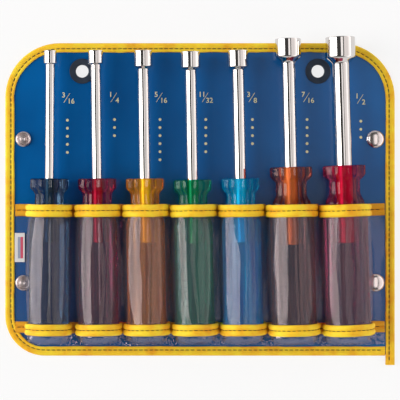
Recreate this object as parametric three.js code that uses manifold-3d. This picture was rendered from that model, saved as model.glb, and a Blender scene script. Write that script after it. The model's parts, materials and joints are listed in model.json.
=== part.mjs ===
// A set of seven hollow-shaft nut drivers in a vinyl snap pouch, lying flat with its pockets up.
// Millimetres. X runs along the row of drivers, Y points at their sockets and Z points up out of the sheet.
import * as THREE from "three";
import { mergeVertices } from "three/addons/utils/BufferGeometryUtils.js";
import Module from "manifold-3d";

// Gap between pieces that touch, and the ease of a handle in its pocket.
const CLEARANCE = 0.3;
const POCKET_EASE = 0.3;

// Plies of the pouch.
const SHEET_THICKNESS = 1.2;
const BINDING_THICKNESS = 0.6;
const BINDING_WIDTH = 5.6;
const VINYL_THICKNESS = 0.5;
const TAPE_THICKNESS = 0.7;
const TOP_TAPE_WIDTH = 7.3;
const BOTTOM_TAPE_WIDTH = 6.8;

// Outline of the pouch. Its width follows from the pockets and the snaps beside them.
const POUCH_HEIGHT = 188.4;
const TOP_CORNER_RADIUS = 33;
const BOTTOM_CORNER_RADIUS = 24;
const BINDING_TAIL = 5.5;

// Pockets: legs lean in to the seams, and the butt end closes in a dome with a flat sewn lip.
const POCKET_LENGTH = 77.5;
const POCKET_DOME = 6.6;
const POCKET_LIP = 0.7;
const SEAM_LAND = 0.35;
const PINCH = THREE.MathUtils.degToRad(18);

// Eyelets, one near each top corner.
const EYELET_SPACING = 142;
const EYELET_DROP = 17;
const EYELET_BORE = 7.7;
const EYELET_WALL = 0.6;
const EYELET_FLANGE = 3.1;
const EYELET_HEIGHT = 0.6;
const EYELET_ROUND = 0.4;
const WASHER_INSET = 0.8;
const WASHER_THICKNESS = 0.6;

// Snaps: studs on the left edge, domed caps on the right edge, each riveted to a plate behind the sheet.
const LOWER_SNAP_HEIGHT = 44;
const UPPER_SNAP_HEIGHT = 130.5;
const SNAP_ROOM = 1.6;
const STUD_DIAMETER = 9.2;
const STUD_BASE = 0.9;
const STUD_LIP = 0.7;
const STUD_DISH = 0.3;
const NUB_RADIUS = 1.9;
const NUB_HEIGHT = 2.6;
const CAP_DIAMETER = 10.6;
const CAP_HEIGHT = 2.1;
const CAP_RIM = 0.5;
const RIVET_RADIUS = 1;
const RIVET_ENTRY = 0.5;
const PLATE_RADIUS = 4;
const PLATE_THICKNESS = 0.6;

// Tag sewn beside the first pocket.
const TAG_WIDTH = 6;
const TAG_LENGTH = 17.5;
const TAG_THICKNESS = 0.4;
const TAG_HEIGHT = 56.5;

// Handles: crown, neck, shoulder and the shaft's seat are measured down from the socket end, and insets
// are measured from the grip.
const SMALL_HANDLE = { length: 90, grip: 24, crownInset: 0.3, neckInset: 3.2, seat: 38 };
const LARGE_HANDLE = { length: 99, grip: 27.2, crownInset: 0.6, neckInset: 4.2, seat: 46 };
const BUTT_ROUND = 4.5;
const CROWN_CHAMFER = 0.8;
const CROWN_HEIGHT = 5.4;
const CROWN_FLARE = 4;
const NECK_LENGTH = 7;
const SHOULDER_LENGTH = 11;
const LOBES = 8;
const CROWN_GROOVE = 1.5;
const NECK_GROOVE = 0.9;
const GRIP_GROOVE = 1.1;
const FLUTE_RUN_OUT = 16;

// Shafts: a socket of hex plus wall on a tube, and two wings at the seated end.
const SHANK_LENGTH = 76.2;
const TUBE_WALL = 0.9;
const HOLLOW_DEPTH = 72;
const HEX_FLOOR = 1;
const MOUTH_CHAMFER = 0.2;
const RIM_CHAMFER = 0.2;
const TIP_CHAMFER = 0.5;
const WING_LENGTH = 9;
const WING_HEIGHT = 1.4;

// One row for each driver: hex across flats, wall round the hex's corners, socket length, taper below the
// socket, shaft diameter, height of the butt over the pocket's dome, lean in degrees and colour.
const DRIVERS = [
  { size: "3_16", hex: 4.76, wall: 1.05, socket: 7.5, taper: 0.8, shaft: 5.4, butt: 2.9, lean: -0.4,
    color: 0x2f4453 },
  { size: "1_4", hex: 6.35, wall: 0.85, socket: 7.5, taper: 1, shaft: 6.1, butt: 2.9, lean: 0.7,
    color: 0xa01c30 },
  { size: "5_16", hex: 7.94, wall: 0.9, socket: 9.2, taper: 2, shaft: 6.8, butt: 2.9, lean: 0.8,
    color: 0xe0a010 },
  { size: "11_32", hex: 8.73, wall: 0.85, socket: 9.2, taper: 2, shaft: 6.8, butt: 2.2, lean: 1,
    color: 0x0a7a40 },
  { size: "3_8", hex: 9.525, wall: 0.8, socket: 9.5, taper: 2, shaft: 7.3, butt: 2.9, lean: 1.2,
    color: 0x1080b8 },
  { size: "7_16", hex: 11.11, wall: 1.35, socket: 10, taper: 4.6, shaft: 8, butt: 0.7, lean: 1.3,
    color: 0xb04418 },
  { size: "1_2", hex: 12.7, wall: 1.5, socket: 11.4, taper: 4.8, shaft: 10, butt: 1.7, lean: 1.7,
    color: 0xb01830 },
];
const SMALL_COUNT = 5;
const LEFT_WING_COUNT = 2;
const RIGHT_WING_COUNT = 2;

// Facets.
const ARCH_SEGMENTS = 10;
const SHAFT_SEGMENTS = 18;
const LOBE_POINTS = 3;
const EYELET_SEGMENTS = 14;
const SNAP_SEGMENTS = 12;
const CORNER_SEGMENTS = 10;
const DOME_STEPS = [0.5, 0.8, 0.95];

// Heights of the plies above the surface the pouch lies on.
const SHEET_BOTTOM = BINDING_THICKNESS + CLEARANCE;
const SHEET_TOP = SHEET_BOTTOM + SHEET_THICKNESS;
const FRONT = SHEET_TOP + CLEARANCE;
const BINDING_TOP = FRONT + BINDING_THICKNESS;

const wasm = await Module();
wasm.setup();

function solidOf(geometry) {
  const bare = new THREE.BufferGeometry();
  bare.setAttribute("position", geometry.getAttribute("position"));
  bare.setIndex(geometry.index);
  const merged = mergeVertices(bare);
  const vertProperties = merged.attributes.position.array;
  const triVerts = new Uint32Array(merged.index.array);
  return new wasm.Manifold(new wasm.Mesh({ numProp: 3, vertProperties, triVerts }));
}

function geometryOf(solid) {
  const mesh = solid.getMesh();
  const result = new THREE.BufferGeometry();
  result.setAttribute("position", new THREE.BufferAttribute(mesh.vertProperties, mesh.numProp));
  result.setIndex(new THREE.BufferAttribute(mesh.triVerts, 1));
  return result;
}

const cut = (geometry, tool) => geometryOf(solidOf(geometry).subtract(solidOf(tool)));
const common = (geometry, tool) => geometryOf(solidOf(geometry).intersect(solidOf(tool)));

// Turns a closed surface the right way out: its signed volume has to be positive.
function facingOut(points, faces) {
  let volume = 0;
  for (let i = 0; i < faces.length; i += 3) {
    const [a, b, c] = faces.slice(i, i + 3).map((index) => new THREE.Vector3(...points[index]));
    volume += a.dot(b.cross(c));
  }
  const outward = volume < 0 ? faces.reverse() : faces;
  const geometry = new THREE.BufferGeometry();
  geometry.setAttribute("position", new THREE.Float32BufferAttribute(points.flat(), 3));
  geometry.setIndex(outward);
  return geometry;
}

// Skins a row of rings with the same number of points. A ring of one point closes an end, and flat end
// rings are closed by the triangles of their outline.
function loft(rings, endFaces = []) {
  const points = rings.flat();
  const starts = rings.map((_, level) => rings.slice(0, level).flat().length);
  const faces = [];
  for (let level = 0; level + 1 < rings.length; level++) {
    const low = rings[level].length;
    const high = rings[level + 1].length;
    const sides = Math.max(low, high);
    for (let i = 0; i < sides; i++) {
      const next = (i + 1) % sides;
      const a = starts[level] + (i % low);
      const b = starts[level] + (next % low);
      const c = starts[level + 1] + (i % high);
      const d = starts[level + 1] + (next % high);
      if (low > 1) faces.push(a, b, c);
      if (high > 1) faces.push(b, d, c);
    }
  }
  const last = starts[rings.length - 1];
  for (const [a, b, c] of endFaces) {
    faces.push(a, c, b);
    faces.push(last + a, last + b, last + c);
  }
  return facingOut(points, faces);
}

// Triangles that fill an outline, running round it the way the outline runs.
function outlineFaces(outline) {
  const corners = outline.map(([x, y]) => new THREE.Vector2(x, y));
  const faces = THREE.ShapeUtils.triangulateShape(corners, []);
  return THREE.ShapeUtils.isClockWise(corners) ? faces.map((face) => face.reverse()) : faces;
}

// A ring round the Y axis, with its first point on the Z side.
function ringAt(y, radii) {
  return radii.map((radius, i) => {
    const angle = (2 * Math.PI * i) / radii.length;
    return [radius * Math.sin(angle), y, radius * Math.cos(angle)];
  });
}

// A turned piece from a profile of [radius, height], standing on Z.
function turned(profile, segments) {
  const points = profile.map(([radius, height]) => new THREE.Vector2(radius, height));
  return new THREE.LatheGeometry(points, segments).rotateX(Math.PI / 2);
}

function rod(radius, low, high, segments) {
  const geometry = new THREE.CylinderGeometry(radius, radius, high - low, segments);
  return geometry.rotateX(Math.PI / 2).translate(0, 0, (low + high) / 2);
}

const material = (color, roughness, metalness, opacity = 1) =>
  new THREE.MeshStandardMaterial({ color, roughness, metalness, opacity, transparent: opacity < 1 });
const BLUE_VINYL = material(0x0b4b86, 0.35, 0);
const YELLOW_TAPE = material(0xf2b818, 0.7, 0);
const CLEAR_VINYL = material(0xc8ccd8, 0.1, 0, 0.25);
const CHROME = material(0xdfe1e6, 0.1, 1);
const NICKEL = material(0xb5aca8, 0.25, 1);
const DARK_METAL = material(0x2b2f38, 0.4, 0.8);
const WHITE_TAG = material(0xf0eeee, 0.8, 0);

const root = new THREE.Group();

function add(parent, name, geometry, finish) {
  const mesh = new THREE.Mesh(geometry, finish);
  mesh.name = name;
  parent.add(mesh);
  return mesh;
}

// Pocket sizes of each driver, and the places of the pockets along the pouch.
const ARCH_STEP = (Math.PI + 2 * PINCH) / ARCH_SEGMENTS;
const ARCH_REACH = 1 / Math.cos(ARCH_STEP / 2);
const TAPE_OFFSET = VINYL_THICKNESS + CLEARANCE;

const bays = DRIVERS.map((driver, index) => {
  const handle = index < SMALL_COUNT ? SMALL_HANDLE : LARGE_HANDLE;
  const pocketRadius = handle.grip / 2 + POCKET_EASE;
  const bulge = (pocketRadius + TAPE_OFFSET + TAPE_THICKNESS) * ARCH_REACH;
  const lean = THREE.MathUtils.degToRad(driver.lean);
  const axis = handle.grip / 2;
  return { ...driver, handle, pocketRadius, bulge, lean, axis };
});
const firstBay = bays[0];
const lastBay = bays[bays.length - 1];

// The curve of a pocket over its handle: up one leg from the base, over the arch and down the other leg.
// Its corners lie outside the circle, so that its flats clear the handle.
function archCurve(bay, radius, base) {
  const reach = radius * ARCH_REACH;
  const arch = [];
  for (let i = 0; i <= ARCH_SEGMENTS; i++) {
    const angle = i * ARCH_STEP - PINCH;
    arch.push([reach * Math.cos(angle), bay.axis + reach * Math.sin(angle)]);
  }
  const foot = arch[0][0] - (arch[0][1] - base) * Math.tan(PINCH);
  return [[foot, base], ...arch, [-foot, base]];
}

// Half the width of a pocket's outside at a height above the sheet's front.
function legHalfWidth(bay, height) {
  const outside = archCurve(bay, bay.pocketRadius + VINYL_THICKNESS, VINYL_THICKNESS);
  const rise = (height - VINYL_THICKNESS) * Math.tan(PINCH);
  return outside[0][0] + rise;
}

// The snaps stand between the binding and the leg of the pocket beside them, which sets the margins.
const snapStack = VINYL_THICKNESS + CLEARANCE + Math.max(CAP_HEIGHT, STUD_BASE + STUD_LIP);
const edgeRoom = BINDING_WIDTH + CLEARANCE + SNAP_ROOM;
const legInset = (bay) => bay.bulge - legHalfWidth(bay, snapStack);
const LEFT_MARGIN = edgeRoom + STUD_DIAMETER - legInset(firstBay);
const RIGHT_MARGIN = edgeRoom + CAP_DIAMETER - legInset(lastBay);

// Pockets that lean apart need a wider seam, because they turn about their middles.
const halfPocket = POCKET_LENGTH / 2 + POCKET_DOME + POCKET_LIP;
let reachX = LEFT_MARGIN;
for (const [index, bay] of bays.entries()) {
  const spread = index ? Math.abs(bay.lean - bays[index - 1].lean) * halfPocket : 0;
  const seam = index ? SEAM_LAND + spread : 0;
  bay.left = reachX + seam / 2;
  bay.x = reachX + seam + bay.bulge;
  reachX = bay.x + bay.bulge;
}
const POUCH_WIDTH = reachX + RIGHT_MARGIN;
const LEFT_FOLD = bays[LEFT_WING_COUNT].left;
const RIGHT_FOLD = bays[bays.length - RIGHT_WING_COUNT].left;

// The outer feet of the first and last pockets run out over the margins, to be trimmed along the binding.
// A leaning pocket turns about its middle, so its lip keeps that much further from the binding.
for (const bay of bays) {
  bay.footLeft = bay === firstBay ? bay.bulge + LEFT_MARGIN : bay.bulge;
  bay.footRight = bay === lastBay ? bay.bulge + RIGHT_MARGIN : bay.bulge;
}
const lipRise = Math.max(...bays.map((bay) => bay.bulge * Math.sin(Math.abs(bay.lean))));
const POCKET_START = BINDING_WIDTH + CLEARANCE + lipRise + POCKET_LIP + POCKET_DOME;
const POCKET_MIDDLE = POCKET_START + POCKET_LENGTH / 2;

// Sheet.
const edgeInset = BINDING_THICKNESS + CLEARANCE;
const seamGap = CLEARANCE / 2;

function roundHole(x, y, radius) {
  const hole = new THREE.Path();
  hole.absarc(x, y, radius, 0, 2 * Math.PI, true);
  return hole;
}

// A section of the pouch between two upright edges, an inset inside its outline, with its own corner radii.
function sectionShape(inset, left, right, topLeft, topRight, bottomLeft) {
  const bottom = inset;
  const top = POUCH_HEIGHT - inset;
  const shape = new THREE.Shape();
  shape.moveTo(left + bottomLeft, bottom);
  shape.lineTo(right, bottom);
  shape.lineTo(right, top - topRight);
  if (topRight) shape.absarc(right - topRight, top - topRight, topRight, 0, Math.PI / 2);
  shape.lineTo(left + topLeft, top);
  if (topLeft) shape.absarc(left + topLeft, top - topLeft, topLeft, Math.PI / 2, Math.PI);
  shape.lineTo(left, bottom + bottomLeft);
  if (bottomLeft) shape.absarc(left + bottomLeft, bottom + bottomLeft, bottomLeft, Math.PI, 1.5 * Math.PI);
  return shape;
}

function plate(shape, thickness, z) {
  const settings = { depth: thickness, bevelEnabled: false, curveSegments: CORNER_SEGMENTS };
  return new THREE.ExtrudeGeometry(shape, settings).translate(0, 0, z);
}

const eyeletY = POUCH_HEIGHT - EYELET_DROP;
const eyelets = [
  { name: "left", x: (POUCH_WIDTH - EYELET_SPACING) / 2 },
  { name: "right", x: (POUCH_WIDTH + EYELET_SPACING) / 2 },
];
const barrelRadius = EYELET_BORE / 2 + EYELET_WALL;
const eyeletHole = barrelRadius + CLEARANCE;
const snapInset = (diameter) => BINDING_WIDTH + CLEARANCE + SNAP_ROOM / 3 + diameter / 2;
const studX = snapInset(STUD_DIAMETER);
const capX = POUCH_WIDTH - snapInset(CAP_DIAMETER);
const rivetHole = RIVET_RADIUS + CLEARANCE;
const snapHeights = [
  { name: "lower", y: LOWER_SNAP_HEIGHT, seat: FRONT + TAPE_OFFSET },
  { name: "upper", y: UPPER_SNAP_HEIGHT, seat: FRONT },
];

const topRound = TOP_CORNER_RADIUS - edgeInset;
const bottomRound = BOTTOM_CORNER_RADIUS - edgeInset;
const leftSection = sectionShape(edgeInset, edgeInset, LEFT_FOLD - seamGap, topRound, 0, bottomRound);
const middleSection = sectionShape(edgeInset, LEFT_FOLD + seamGap, RIGHT_FOLD - seamGap, 0, 0, 0);
const rightSection = sectionShape(edgeInset, RIGHT_FOLD + seamGap, POUCH_WIDTH - edgeInset, 0, topRound, 0);
leftSection.holes.push(roundHole(eyelets[0].x, eyeletY, eyeletHole));
rightSection.holes.push(roundHole(eyelets[1].x, eyeletY, eyeletHole));
for (const { y } of snapHeights) {
  leftSection.holes.push(roundHole(studX, y, rivetHole));
  rightSection.holes.push(roundHole(capX, y, rivetHole));
}
add(root, "sheet_left", plate(leftSection, SHEET_THICKNESS, SHEET_BOTTOM), BLUE_VINYL);
add(root, "sheet_middle", plate(middleSection, SHEET_THICKNESS, SHEET_BOTTOM), BLUE_VINYL);
add(root, "sheet_right", plate(rightSection, SHEET_THICKNESS, SHEET_BOTTOM), BLUE_VINYL);

// Binding: a tape folded over the edge, swept along the outline as a channel open to the inside.
const channel = [
  [0, 0],
  [0, BINDING_TOP],
  [BINDING_WIDTH, BINDING_TOP],
  [BINDING_WIDTH, FRONT],
  [BINDING_THICKNESS, FRONT],
  [BINDING_THICKNESS, BINDING_THICKNESS],
  [BINDING_WIDTH, BINDING_THICKNESS],
  [BINDING_WIDTH, 0],
];

// A stop on the outline: a point of the edge and the direction from it into the pouch.
const stop = (x, y, inX, inY) => ({ x, y, inX, inY });

function cornerStops(x, y, radius, from, to) {
  const stops = [];
  for (let i = 0; i <= CORNER_SEGMENTS; i++) {
    const angle = THREE.MathUtils.lerp(from, to, i / CORNER_SEGMENTS);
    const cos = Math.cos(angle);
    const sin = Math.sin(angle);
    stops.push(stop(x + radius * cos, y + radius * sin, -cos, -sin));
  }
  return stops;
}

function bindingAlong(stops) {
  const ringAtStop = ({ x, y, inX, inY }) => channel.map(([into, z]) => [x + inX * into, y + inY * into, z]);
  const rings = stops.map(ringAtStop);
  return loft(rings, outlineFaces(channel));
}

const topCornerY = POUCH_HEIGHT - TOP_CORNER_RADIUS;
const leftEdge = [
  stop(LEFT_FOLD - seamGap, POUCH_HEIGHT, 0, -1),
  ...cornerStops(TOP_CORNER_RADIUS, topCornerY, TOP_CORNER_RADIUS, Math.PI / 2, Math.PI),
  ...cornerStops(BOTTOM_CORNER_RADIUS, BOTTOM_CORNER_RADIUS, BOTTOM_CORNER_RADIUS, Math.PI, 1.5 * Math.PI),
  stop(LEFT_FOLD - seamGap, 0, 0, 1),
];
const rightCornerX = POUCH_WIDTH - TOP_CORNER_RADIUS;
const rightEdge = [
  stop(RIGHT_FOLD + seamGap, POUCH_HEIGHT, 0, -1),
  ...cornerStops(rightCornerX, topCornerY, TOP_CORNER_RADIUS, Math.PI / 2, 0),
  stop(POUCH_WIDTH, -BINDING_TAIL, -1, 0),
];
const acrossMiddle = (y, inY) => [LEFT_FOLD + seamGap, RIGHT_FOLD - seamGap].map((x) => stop(x, y, 0, inY));
const bottomRightEnd = POUCH_WIDTH - BINDING_WIDTH - CLEARANCE;
const bottomRightEdge = [stop(RIGHT_FOLD + seamGap, 0, 0, 1), stop(bottomRightEnd, 0, 0, 1)];
add(root, "binding_left", bindingAlong(leftEdge), YELLOW_TAPE);
add(root, "binding_top_middle", bindingAlong(acrossMiddle(POUCH_HEIGHT, -1)), YELLOW_TAPE);
add(root, "binding_bottom_middle", bindingAlong(acrossMiddle(0, 1)), YELLOW_TAPE);
add(root, "binding_right", bindingAlong(rightEdge), YELLOW_TAPE);
add(root, "binding_bottom_right", bindingAlong(bottomRightEdge), YELLOW_TAPE);

// Eyelets and their washers.
const flangeRadius = barrelRadius + EYELET_FLANGE;
const flangeTop = FRONT + EYELET_HEIGHT;
const eyeletProfile = [
  [EYELET_BORE / 2, 0],
  [barrelRadius, 0],
  [barrelRadius, FRONT],
  [flangeRadius, FRONT],
  [flangeRadius - EYELET_ROUND, flangeTop],
  [EYELET_BORE / 2 + EYELET_ROUND, flangeTop],
  [EYELET_BORE / 2, flangeTop - EYELET_ROUND],
  [EYELET_BORE / 2, 0],
];
const washerRadius = flangeRadius - WASHER_INSET;
const washerProfile = [
  [eyeletHole, 0],
  [washerRadius, 0],
  [washerRadius, WASHER_THICKNESS],
  [eyeletHole, WASHER_THICKNESS],
  [eyeletHole, 0],
];
for (const { name, x } of eyelets) {
  const eyelet = add(root, `eyelet_${name}`, turned(eyeletProfile, EYELET_SEGMENTS), DARK_METAL);
  const washer = add(root, `eyelet_washer_${name}`, turned(washerProfile, EYELET_SEGMENTS), DARK_METAL);
  eyelet.position.set(x, eyeletY, 0);
  washer.position.set(x, eyeletY, 0);
}

// Snaps. Each front half has a blind hole for the rivet of the plate behind the sheet.
const studRadius = STUD_DIAMETER / 2;
const studProfile = [
  [0, RIVET_ENTRY + CLEARANCE],
  [rivetHole, RIVET_ENTRY + CLEARANCE],
  [rivetHole, 0],
  [studRadius, 0],
  [studRadius, STUD_BASE],
  [studRadius - STUD_LIP, STUD_BASE + STUD_LIP],
  [studRadius - 2 * STUD_LIP, STUD_BASE - STUD_DISH],
  [NUB_RADIUS, STUD_BASE - STUD_DISH],
  [NUB_RADIUS, NUB_HEIGHT - STUD_LIP],
  [NUB_RADIUS - STUD_LIP, NUB_HEIGHT],
  [0, NUB_HEIGHT],
];
const capRadius = CAP_DIAMETER / 2;
const capDome = CAP_HEIGHT - CAP_RIM;
const domePoint = (angle) => [capRadius * Math.cos(angle), CAP_RIM + capDome * Math.sin(angle)];
const capProfile = [
  [0, RIVET_ENTRY + CLEARANCE],
  [rivetHole, RIVET_ENTRY + CLEARANCE],
  [rivetHole, 0],
  [capRadius, 0],
  domePoint(0),
  domePoint(Math.PI / 6),
  domePoint(Math.PI / 3),
  [0, CAP_HEIGHT],
];

function platedRivet(seat) {
  const tip = seat + RIVET_ENTRY;
  const profile = [
    [0, 0],
    [PLATE_RADIUS, 0],
    [PLATE_RADIUS, PLATE_THICKNESS],
    [RIVET_RADIUS, PLATE_THICKNESS],
    [RIVET_RADIUS, tip],
    [0, tip],
  ];
  return turned(profile, SNAP_SEGMENTS);
}

for (const { name, y, seat } of snapHeights) {
  add(root, `snap_stud_${name}`, turned(studProfile, SNAP_SEGMENTS), NICKEL).position.set(studX, y, seat);
  add(root, `snap_post_${name}`, platedRivet(seat), NICKEL).position.set(studX, y, 0);
  add(root, `snap_cap_${name}`, turned(capProfile, SNAP_SEGMENTS), NICKEL).position.set(capX, y, seat);
  add(root, `snap_socket_${name}`, platedRivet(seat), NICKEL).position.set(capX, y, 0);
}

// Tag, on the foot of the first pocket.
const tagShape = new THREE.BoxGeometry(TAG_WIDTH, TAG_LENGTH, TAG_THICKNESS);
const tagX = BINDING_WIDTH + CLEARANCE + TAG_WIDTH / 2;
const tagZ = FRONT + TAPE_OFFSET + TAG_THICKNESS / 2;
add(root, "tag", tagShape, WHITE_TAG).position.set(tagX, TAG_HEIGHT + TAG_LENGTH / 2, tagZ);

// Draws a curve down to its base: whole at 1, and laid flat between its feet at 0.
function laidDown(curve, share) {
  const last = curve.length - 1;
  const [foot, base] = curve[0];
  return curve.map(([x, z], i) => {
    const flat = foot * (1 - (2 * i) / last);
    return [THREE.MathUtils.lerp(flat, x, share), THREE.MathUtils.lerp(base, z, share)];
  });
}

// The outline of a ply over a pocket, with a foot on each side. The shares draw it down inside and outside.
function plyOutline(bay, offset, thickness, inside = 1, outside = 1) {
  const inner = archCurve(bay, bay.pocketRadius + offset, offset);
  const outer = archCurve(bay, bay.pocketRadius + offset + thickness, offset + thickness);
  return [
    [bay.footRight, offset],
    [bay.footRight, offset + thickness],
    ...laidDown(outer, outside),
    [-bay.footLeft, offset + thickness],
    [-bay.footLeft, offset],
    ...laidDown(inner, inside).reverse(),
  ];
}

// A pocket of clear vinyl: straight from the mouth to the butt, then a quarter round down to the lip.
function pocketGeometry(bay) {
  const domeShare = (reach, length) => Math.sqrt(Math.max(0, 1 - (reach / length) ** 2));
  const stations = [
    { y: POCKET_LENGTH / 2, inside: 1, outside: 1 },
    { y: -POCKET_LENGTH / 2, inside: 1, outside: 1 },
  ];
  for (const step of [...DOME_STEPS, 1]) {
    const reach = step * POCKET_DOME;
    const inside = domeShare(reach, POCKET_DOME - VINYL_THICKNESS);
    stations.push({ y: -POCKET_LENGTH / 2 - reach, inside, outside: domeShare(reach, POCKET_DOME) });
  }
  stations.push({ y: -halfPocket, inside: 0, outside: 0 });
  const outlineAt = ({ inside, outside }) => plyOutline(bay, 0, VINYL_THICKNESS, inside, outside);
  const outlines = stations.map(outlineAt);
  const rings = outlines.map((outline, i) => outline.map(([x, z]) => [x, stations[i].y, z]));
  return loft(rings, outlineFaces(outlines[0]));
}

// A length of tape over a pocket, from its lower to its upper edge.
function tapeGeometry(bay, low, high) {
  const outline = plyOutline(bay, TAPE_OFFSET, TAPE_THICKNESS);
  const rings = [low, high].map((y) => outline.map(([x, z]) => [x, y, z]));
  return loft(rings, outlineFaces(outline));
}

// Trims a ply of a leaning bay along the inner edge of the binding.
function trimmed(bay, geometry) {
  const inset = BINDING_WIDTH + CLEARANCE;
  const round = TOP_CORNER_RADIUS - inset;
  const shape = sectionShape(inset, inset, POUCH_WIDTH - inset, round, round, BOTTOM_CORNER_RADIUS - inset);
  const inside = plate(shape, 2 * bay.handle.grip, -CLEARANCE);
  return common(geometry, inside.translate(-bay.x, -POCKET_MIDDLE, 0).rotateZ(-bay.lean));
}

// A hole through a pocket's foot for the rivet of a snap that stands on it.
function piercedForSnap(bay, geometry, snapX) {
  const place = new THREE.Vector2(snapX - bay.x, LOWER_SNAP_HEIGHT - POCKET_MIDDLE);
  place.rotateAround(new THREE.Vector2(), -bay.lean);
  const drill = rod(rivetHole, -CLEARANCE, TAPE_OFFSET, SNAP_SEGMENTS);
  return cut(geometry, drill.translate(place.x, place.y, 0));
}

// Radii round a fluted ring: one point in each groove and the rest on the lobe.
function lobedRadii(radius, groove) {
  const radii = [];
  for (let i = 0; i < LOBES * LOBE_POINTS; i++) {
    radii.push(i % LOBE_POINTS === 0 ? radius - groove : radius);
  }
  return radii;
}

// Radii round the seat of a shaft: round, but for two wings on opposite sides.
function wingedRadii(count, radius, wing, shoulder) {
  const radii = Array(count).fill(radius);
  for (const centre of [0, count / 2]) {
    radii[centre] = wing;
    radii[(centre + 1) % count] = shoulder;
    radii[(centre + count - 1) % count] = shoulder;
  }
  return radii;
}

// A handle along Y, with the middle of its butt at the origin.
function handleGeometry({ handle, shaft }) {
  const grip = handle.grip / 2;
  const crown = grip - handle.crownInset;
  const neck = grip - handle.neckInset;
  const top = handle.length;
  const crownFoot = top - CROWN_HEIGHT;
  const neckTop = crownFoot - CROWN_FLARE;
  const neckFoot = neckTop - NECK_LENGTH;
  const shoulder = neckFoot - SHOULDER_LENGTH;
  const corner = BUTT_ROUND * (1 - Math.SQRT1_2);
  const bore = shaft / 2 + CLEARANCE;
  const seat = top - handle.seat - CLEARANCE;
  const wingTop = seat + WING_LENGTH + 2 * CLEARANCE;
  const count = LOBES * LOBE_POINTS;
  const plainBore = Array(count).fill(bore);
  const slot = wingedRadii(count, bore, bore + WING_HEIGHT, bore + CLEARANCE / 2);
  return loft([
    [[0, 0, 0]],
    ringAt(0, lobedRadii(grip - BUTT_ROUND, 0)),
    ringAt(corner, lobedRadii(grip - corner, 0)),
    ringAt(BUTT_ROUND, lobedRadii(grip, 0)),
    ringAt(FLUTE_RUN_OUT, lobedRadii(grip, GRIP_GROOVE)),
    ringAt(shoulder, lobedRadii(grip, GRIP_GROOVE)),
    ringAt((shoulder + neckFoot) / 2, lobedRadii((grip + neck) / 2, GRIP_GROOVE)),
    ringAt(neckFoot, lobedRadii(neck, NECK_GROOVE)),
    ringAt(neckTop, lobedRadii(neck, NECK_GROOVE)),
    ringAt(crownFoot, lobedRadii(crown, CROWN_GROOVE)),
    ringAt(top - CROWN_CHAMFER, lobedRadii(crown, CROWN_GROOVE)),
    ringAt(top, lobedRadii(crown - CROWN_CHAMFER, CROWN_GROOVE)),
    ringAt(top, plainBore),
    ringAt(wingTop, plainBore),
    ringAt(wingTop, slot),
    ringAt(seat, slot),
    [[0, seat, 0]],
  ]);
}

// Radii round a hexagon whose corners lie on the ring's own points.
function hexRadii(across) {
  const radii = [];
  for (let i = 0; i < SHAFT_SEGMENTS; i++) {
    const angle = (2 * Math.PI * i) / SHAFT_SEGMENTS;
    const fromFlat = (angle % (Math.PI / 3)) - Math.PI / 6;
    radii.push(across / 2 / Math.cos(fromFlat));
  }
  return radii;
}

// A shaft along Y, with the plane of the handle's top at the origin.
function shaftGeometry({ handle, hex, wall, socket, taper, shaft }) {
  const round = (radius) => Array(SHAFT_SEGMENTS).fill(radius);
  const tube = shaft / 2;
  const bore = tube - TUBE_WALL;
  const hexCorner = hex / Math.sqrt(3);
  const rim = hexCorner + wall;
  const mouth = SHANK_LENGTH;
  const socketFoot = mouth - socket;
  const hexFloor = socketFoot + HEX_FLOOR;
  const winged = wingedRadii(SHAFT_SEGMENTS, tube, tube + WING_HEIGHT, tube);
  const tip = -handle.seat;
  const wingTop = tip + WING_LENGTH;
  return loft([
    [[0, mouth - HOLLOW_DEPTH, 0]],
    ringAt(mouth - HOLLOW_DEPTH, round(bore)),
    ringAt(hexFloor, round(bore)),
    ringAt(hexFloor, hexRadii(hex)),
    ringAt(mouth - MOUTH_CHAMFER, hexRadii(hex)),
    ringAt(mouth, round(hexCorner + MOUTH_CHAMFER)),
    ringAt(mouth, round(rim - RIM_CHAMFER)),
    ringAt(mouth - RIM_CHAMFER, round(rim)),
    ringAt(socketFoot, round(rim)),
    ringAt(socketFoot - taper, round(tube)),
    ringAt(wingTop, round(tube)),
    ringAt(wingTop, winged),
    ringAt(tip + TIP_CHAMFER, winged),
    ringAt(tip, round(tube - TIP_CHAMFER)),
    [[0, tip, 0]],
  ]);
}

// Pockets, tapes and drivers, each bay in a group of its own that leans as a whole.
for (const bay of bays) {
  const group = new THREE.Group();
  group.position.set(bay.x, POCKET_MIDDLE, FRONT);
  group.rotation.z = bay.lean;
  root.add(group);

  const mouth = POCKET_LENGTH / 2;
  const plies = {
    pocket: pocketGeometry(bay),
    top_tape: tapeGeometry(bay, mouth - TOP_TAPE_WIDTH, mouth),
    bottom_tape: tapeGeometry(bay, -mouth, BOTTOM_TAPE_WIDTH - mouth),
  };
  if (bay === firstBay || bay === lastBay) {
    for (const name of Object.keys(plies)) plies[name] = trimmed(bay, plies[name]);
    plies.pocket = piercedForSnap(bay, plies.pocket, bay === firstBay ? studX : capX);
  }
  for (const [name, geometry] of Object.entries(plies)) {
    add(group, `${name}_${bay.size}`, geometry, name === "pocket" ? CLEAR_VINYL : YELLOW_TAPE);
  }

  const driver = new THREE.Group();
  driver.position.set(0, bay.butt - mouth, bay.axis);
  group.add(driver);
  add(driver, `handle_${bay.size}`, handleGeometry(bay), material(bay.color, 0.1, 0, 0.7));
  const shaft = add(driver, `shaft_${bay.size}`, shaftGeometry(bay), CHROME);
  shaft.position.y = bay.handle.length;
}

// The origin lies under the middle of the whole set.
const middle = new THREE.Box3().setFromObject(root).getCenter(new THREE.Vector3());
root.position.set(-middle.x, -middle.y, 0);

export default root;
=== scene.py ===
# %% [markdown]
# # Seven nut drivers in a folding vinyl pouch
# The packed model gives the frame: every body, its joints and the places of its pieces. This lesson dresses
# it. Each cell makes one kind of piece, in millimetres, and hangs it on the body that carries it.

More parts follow.
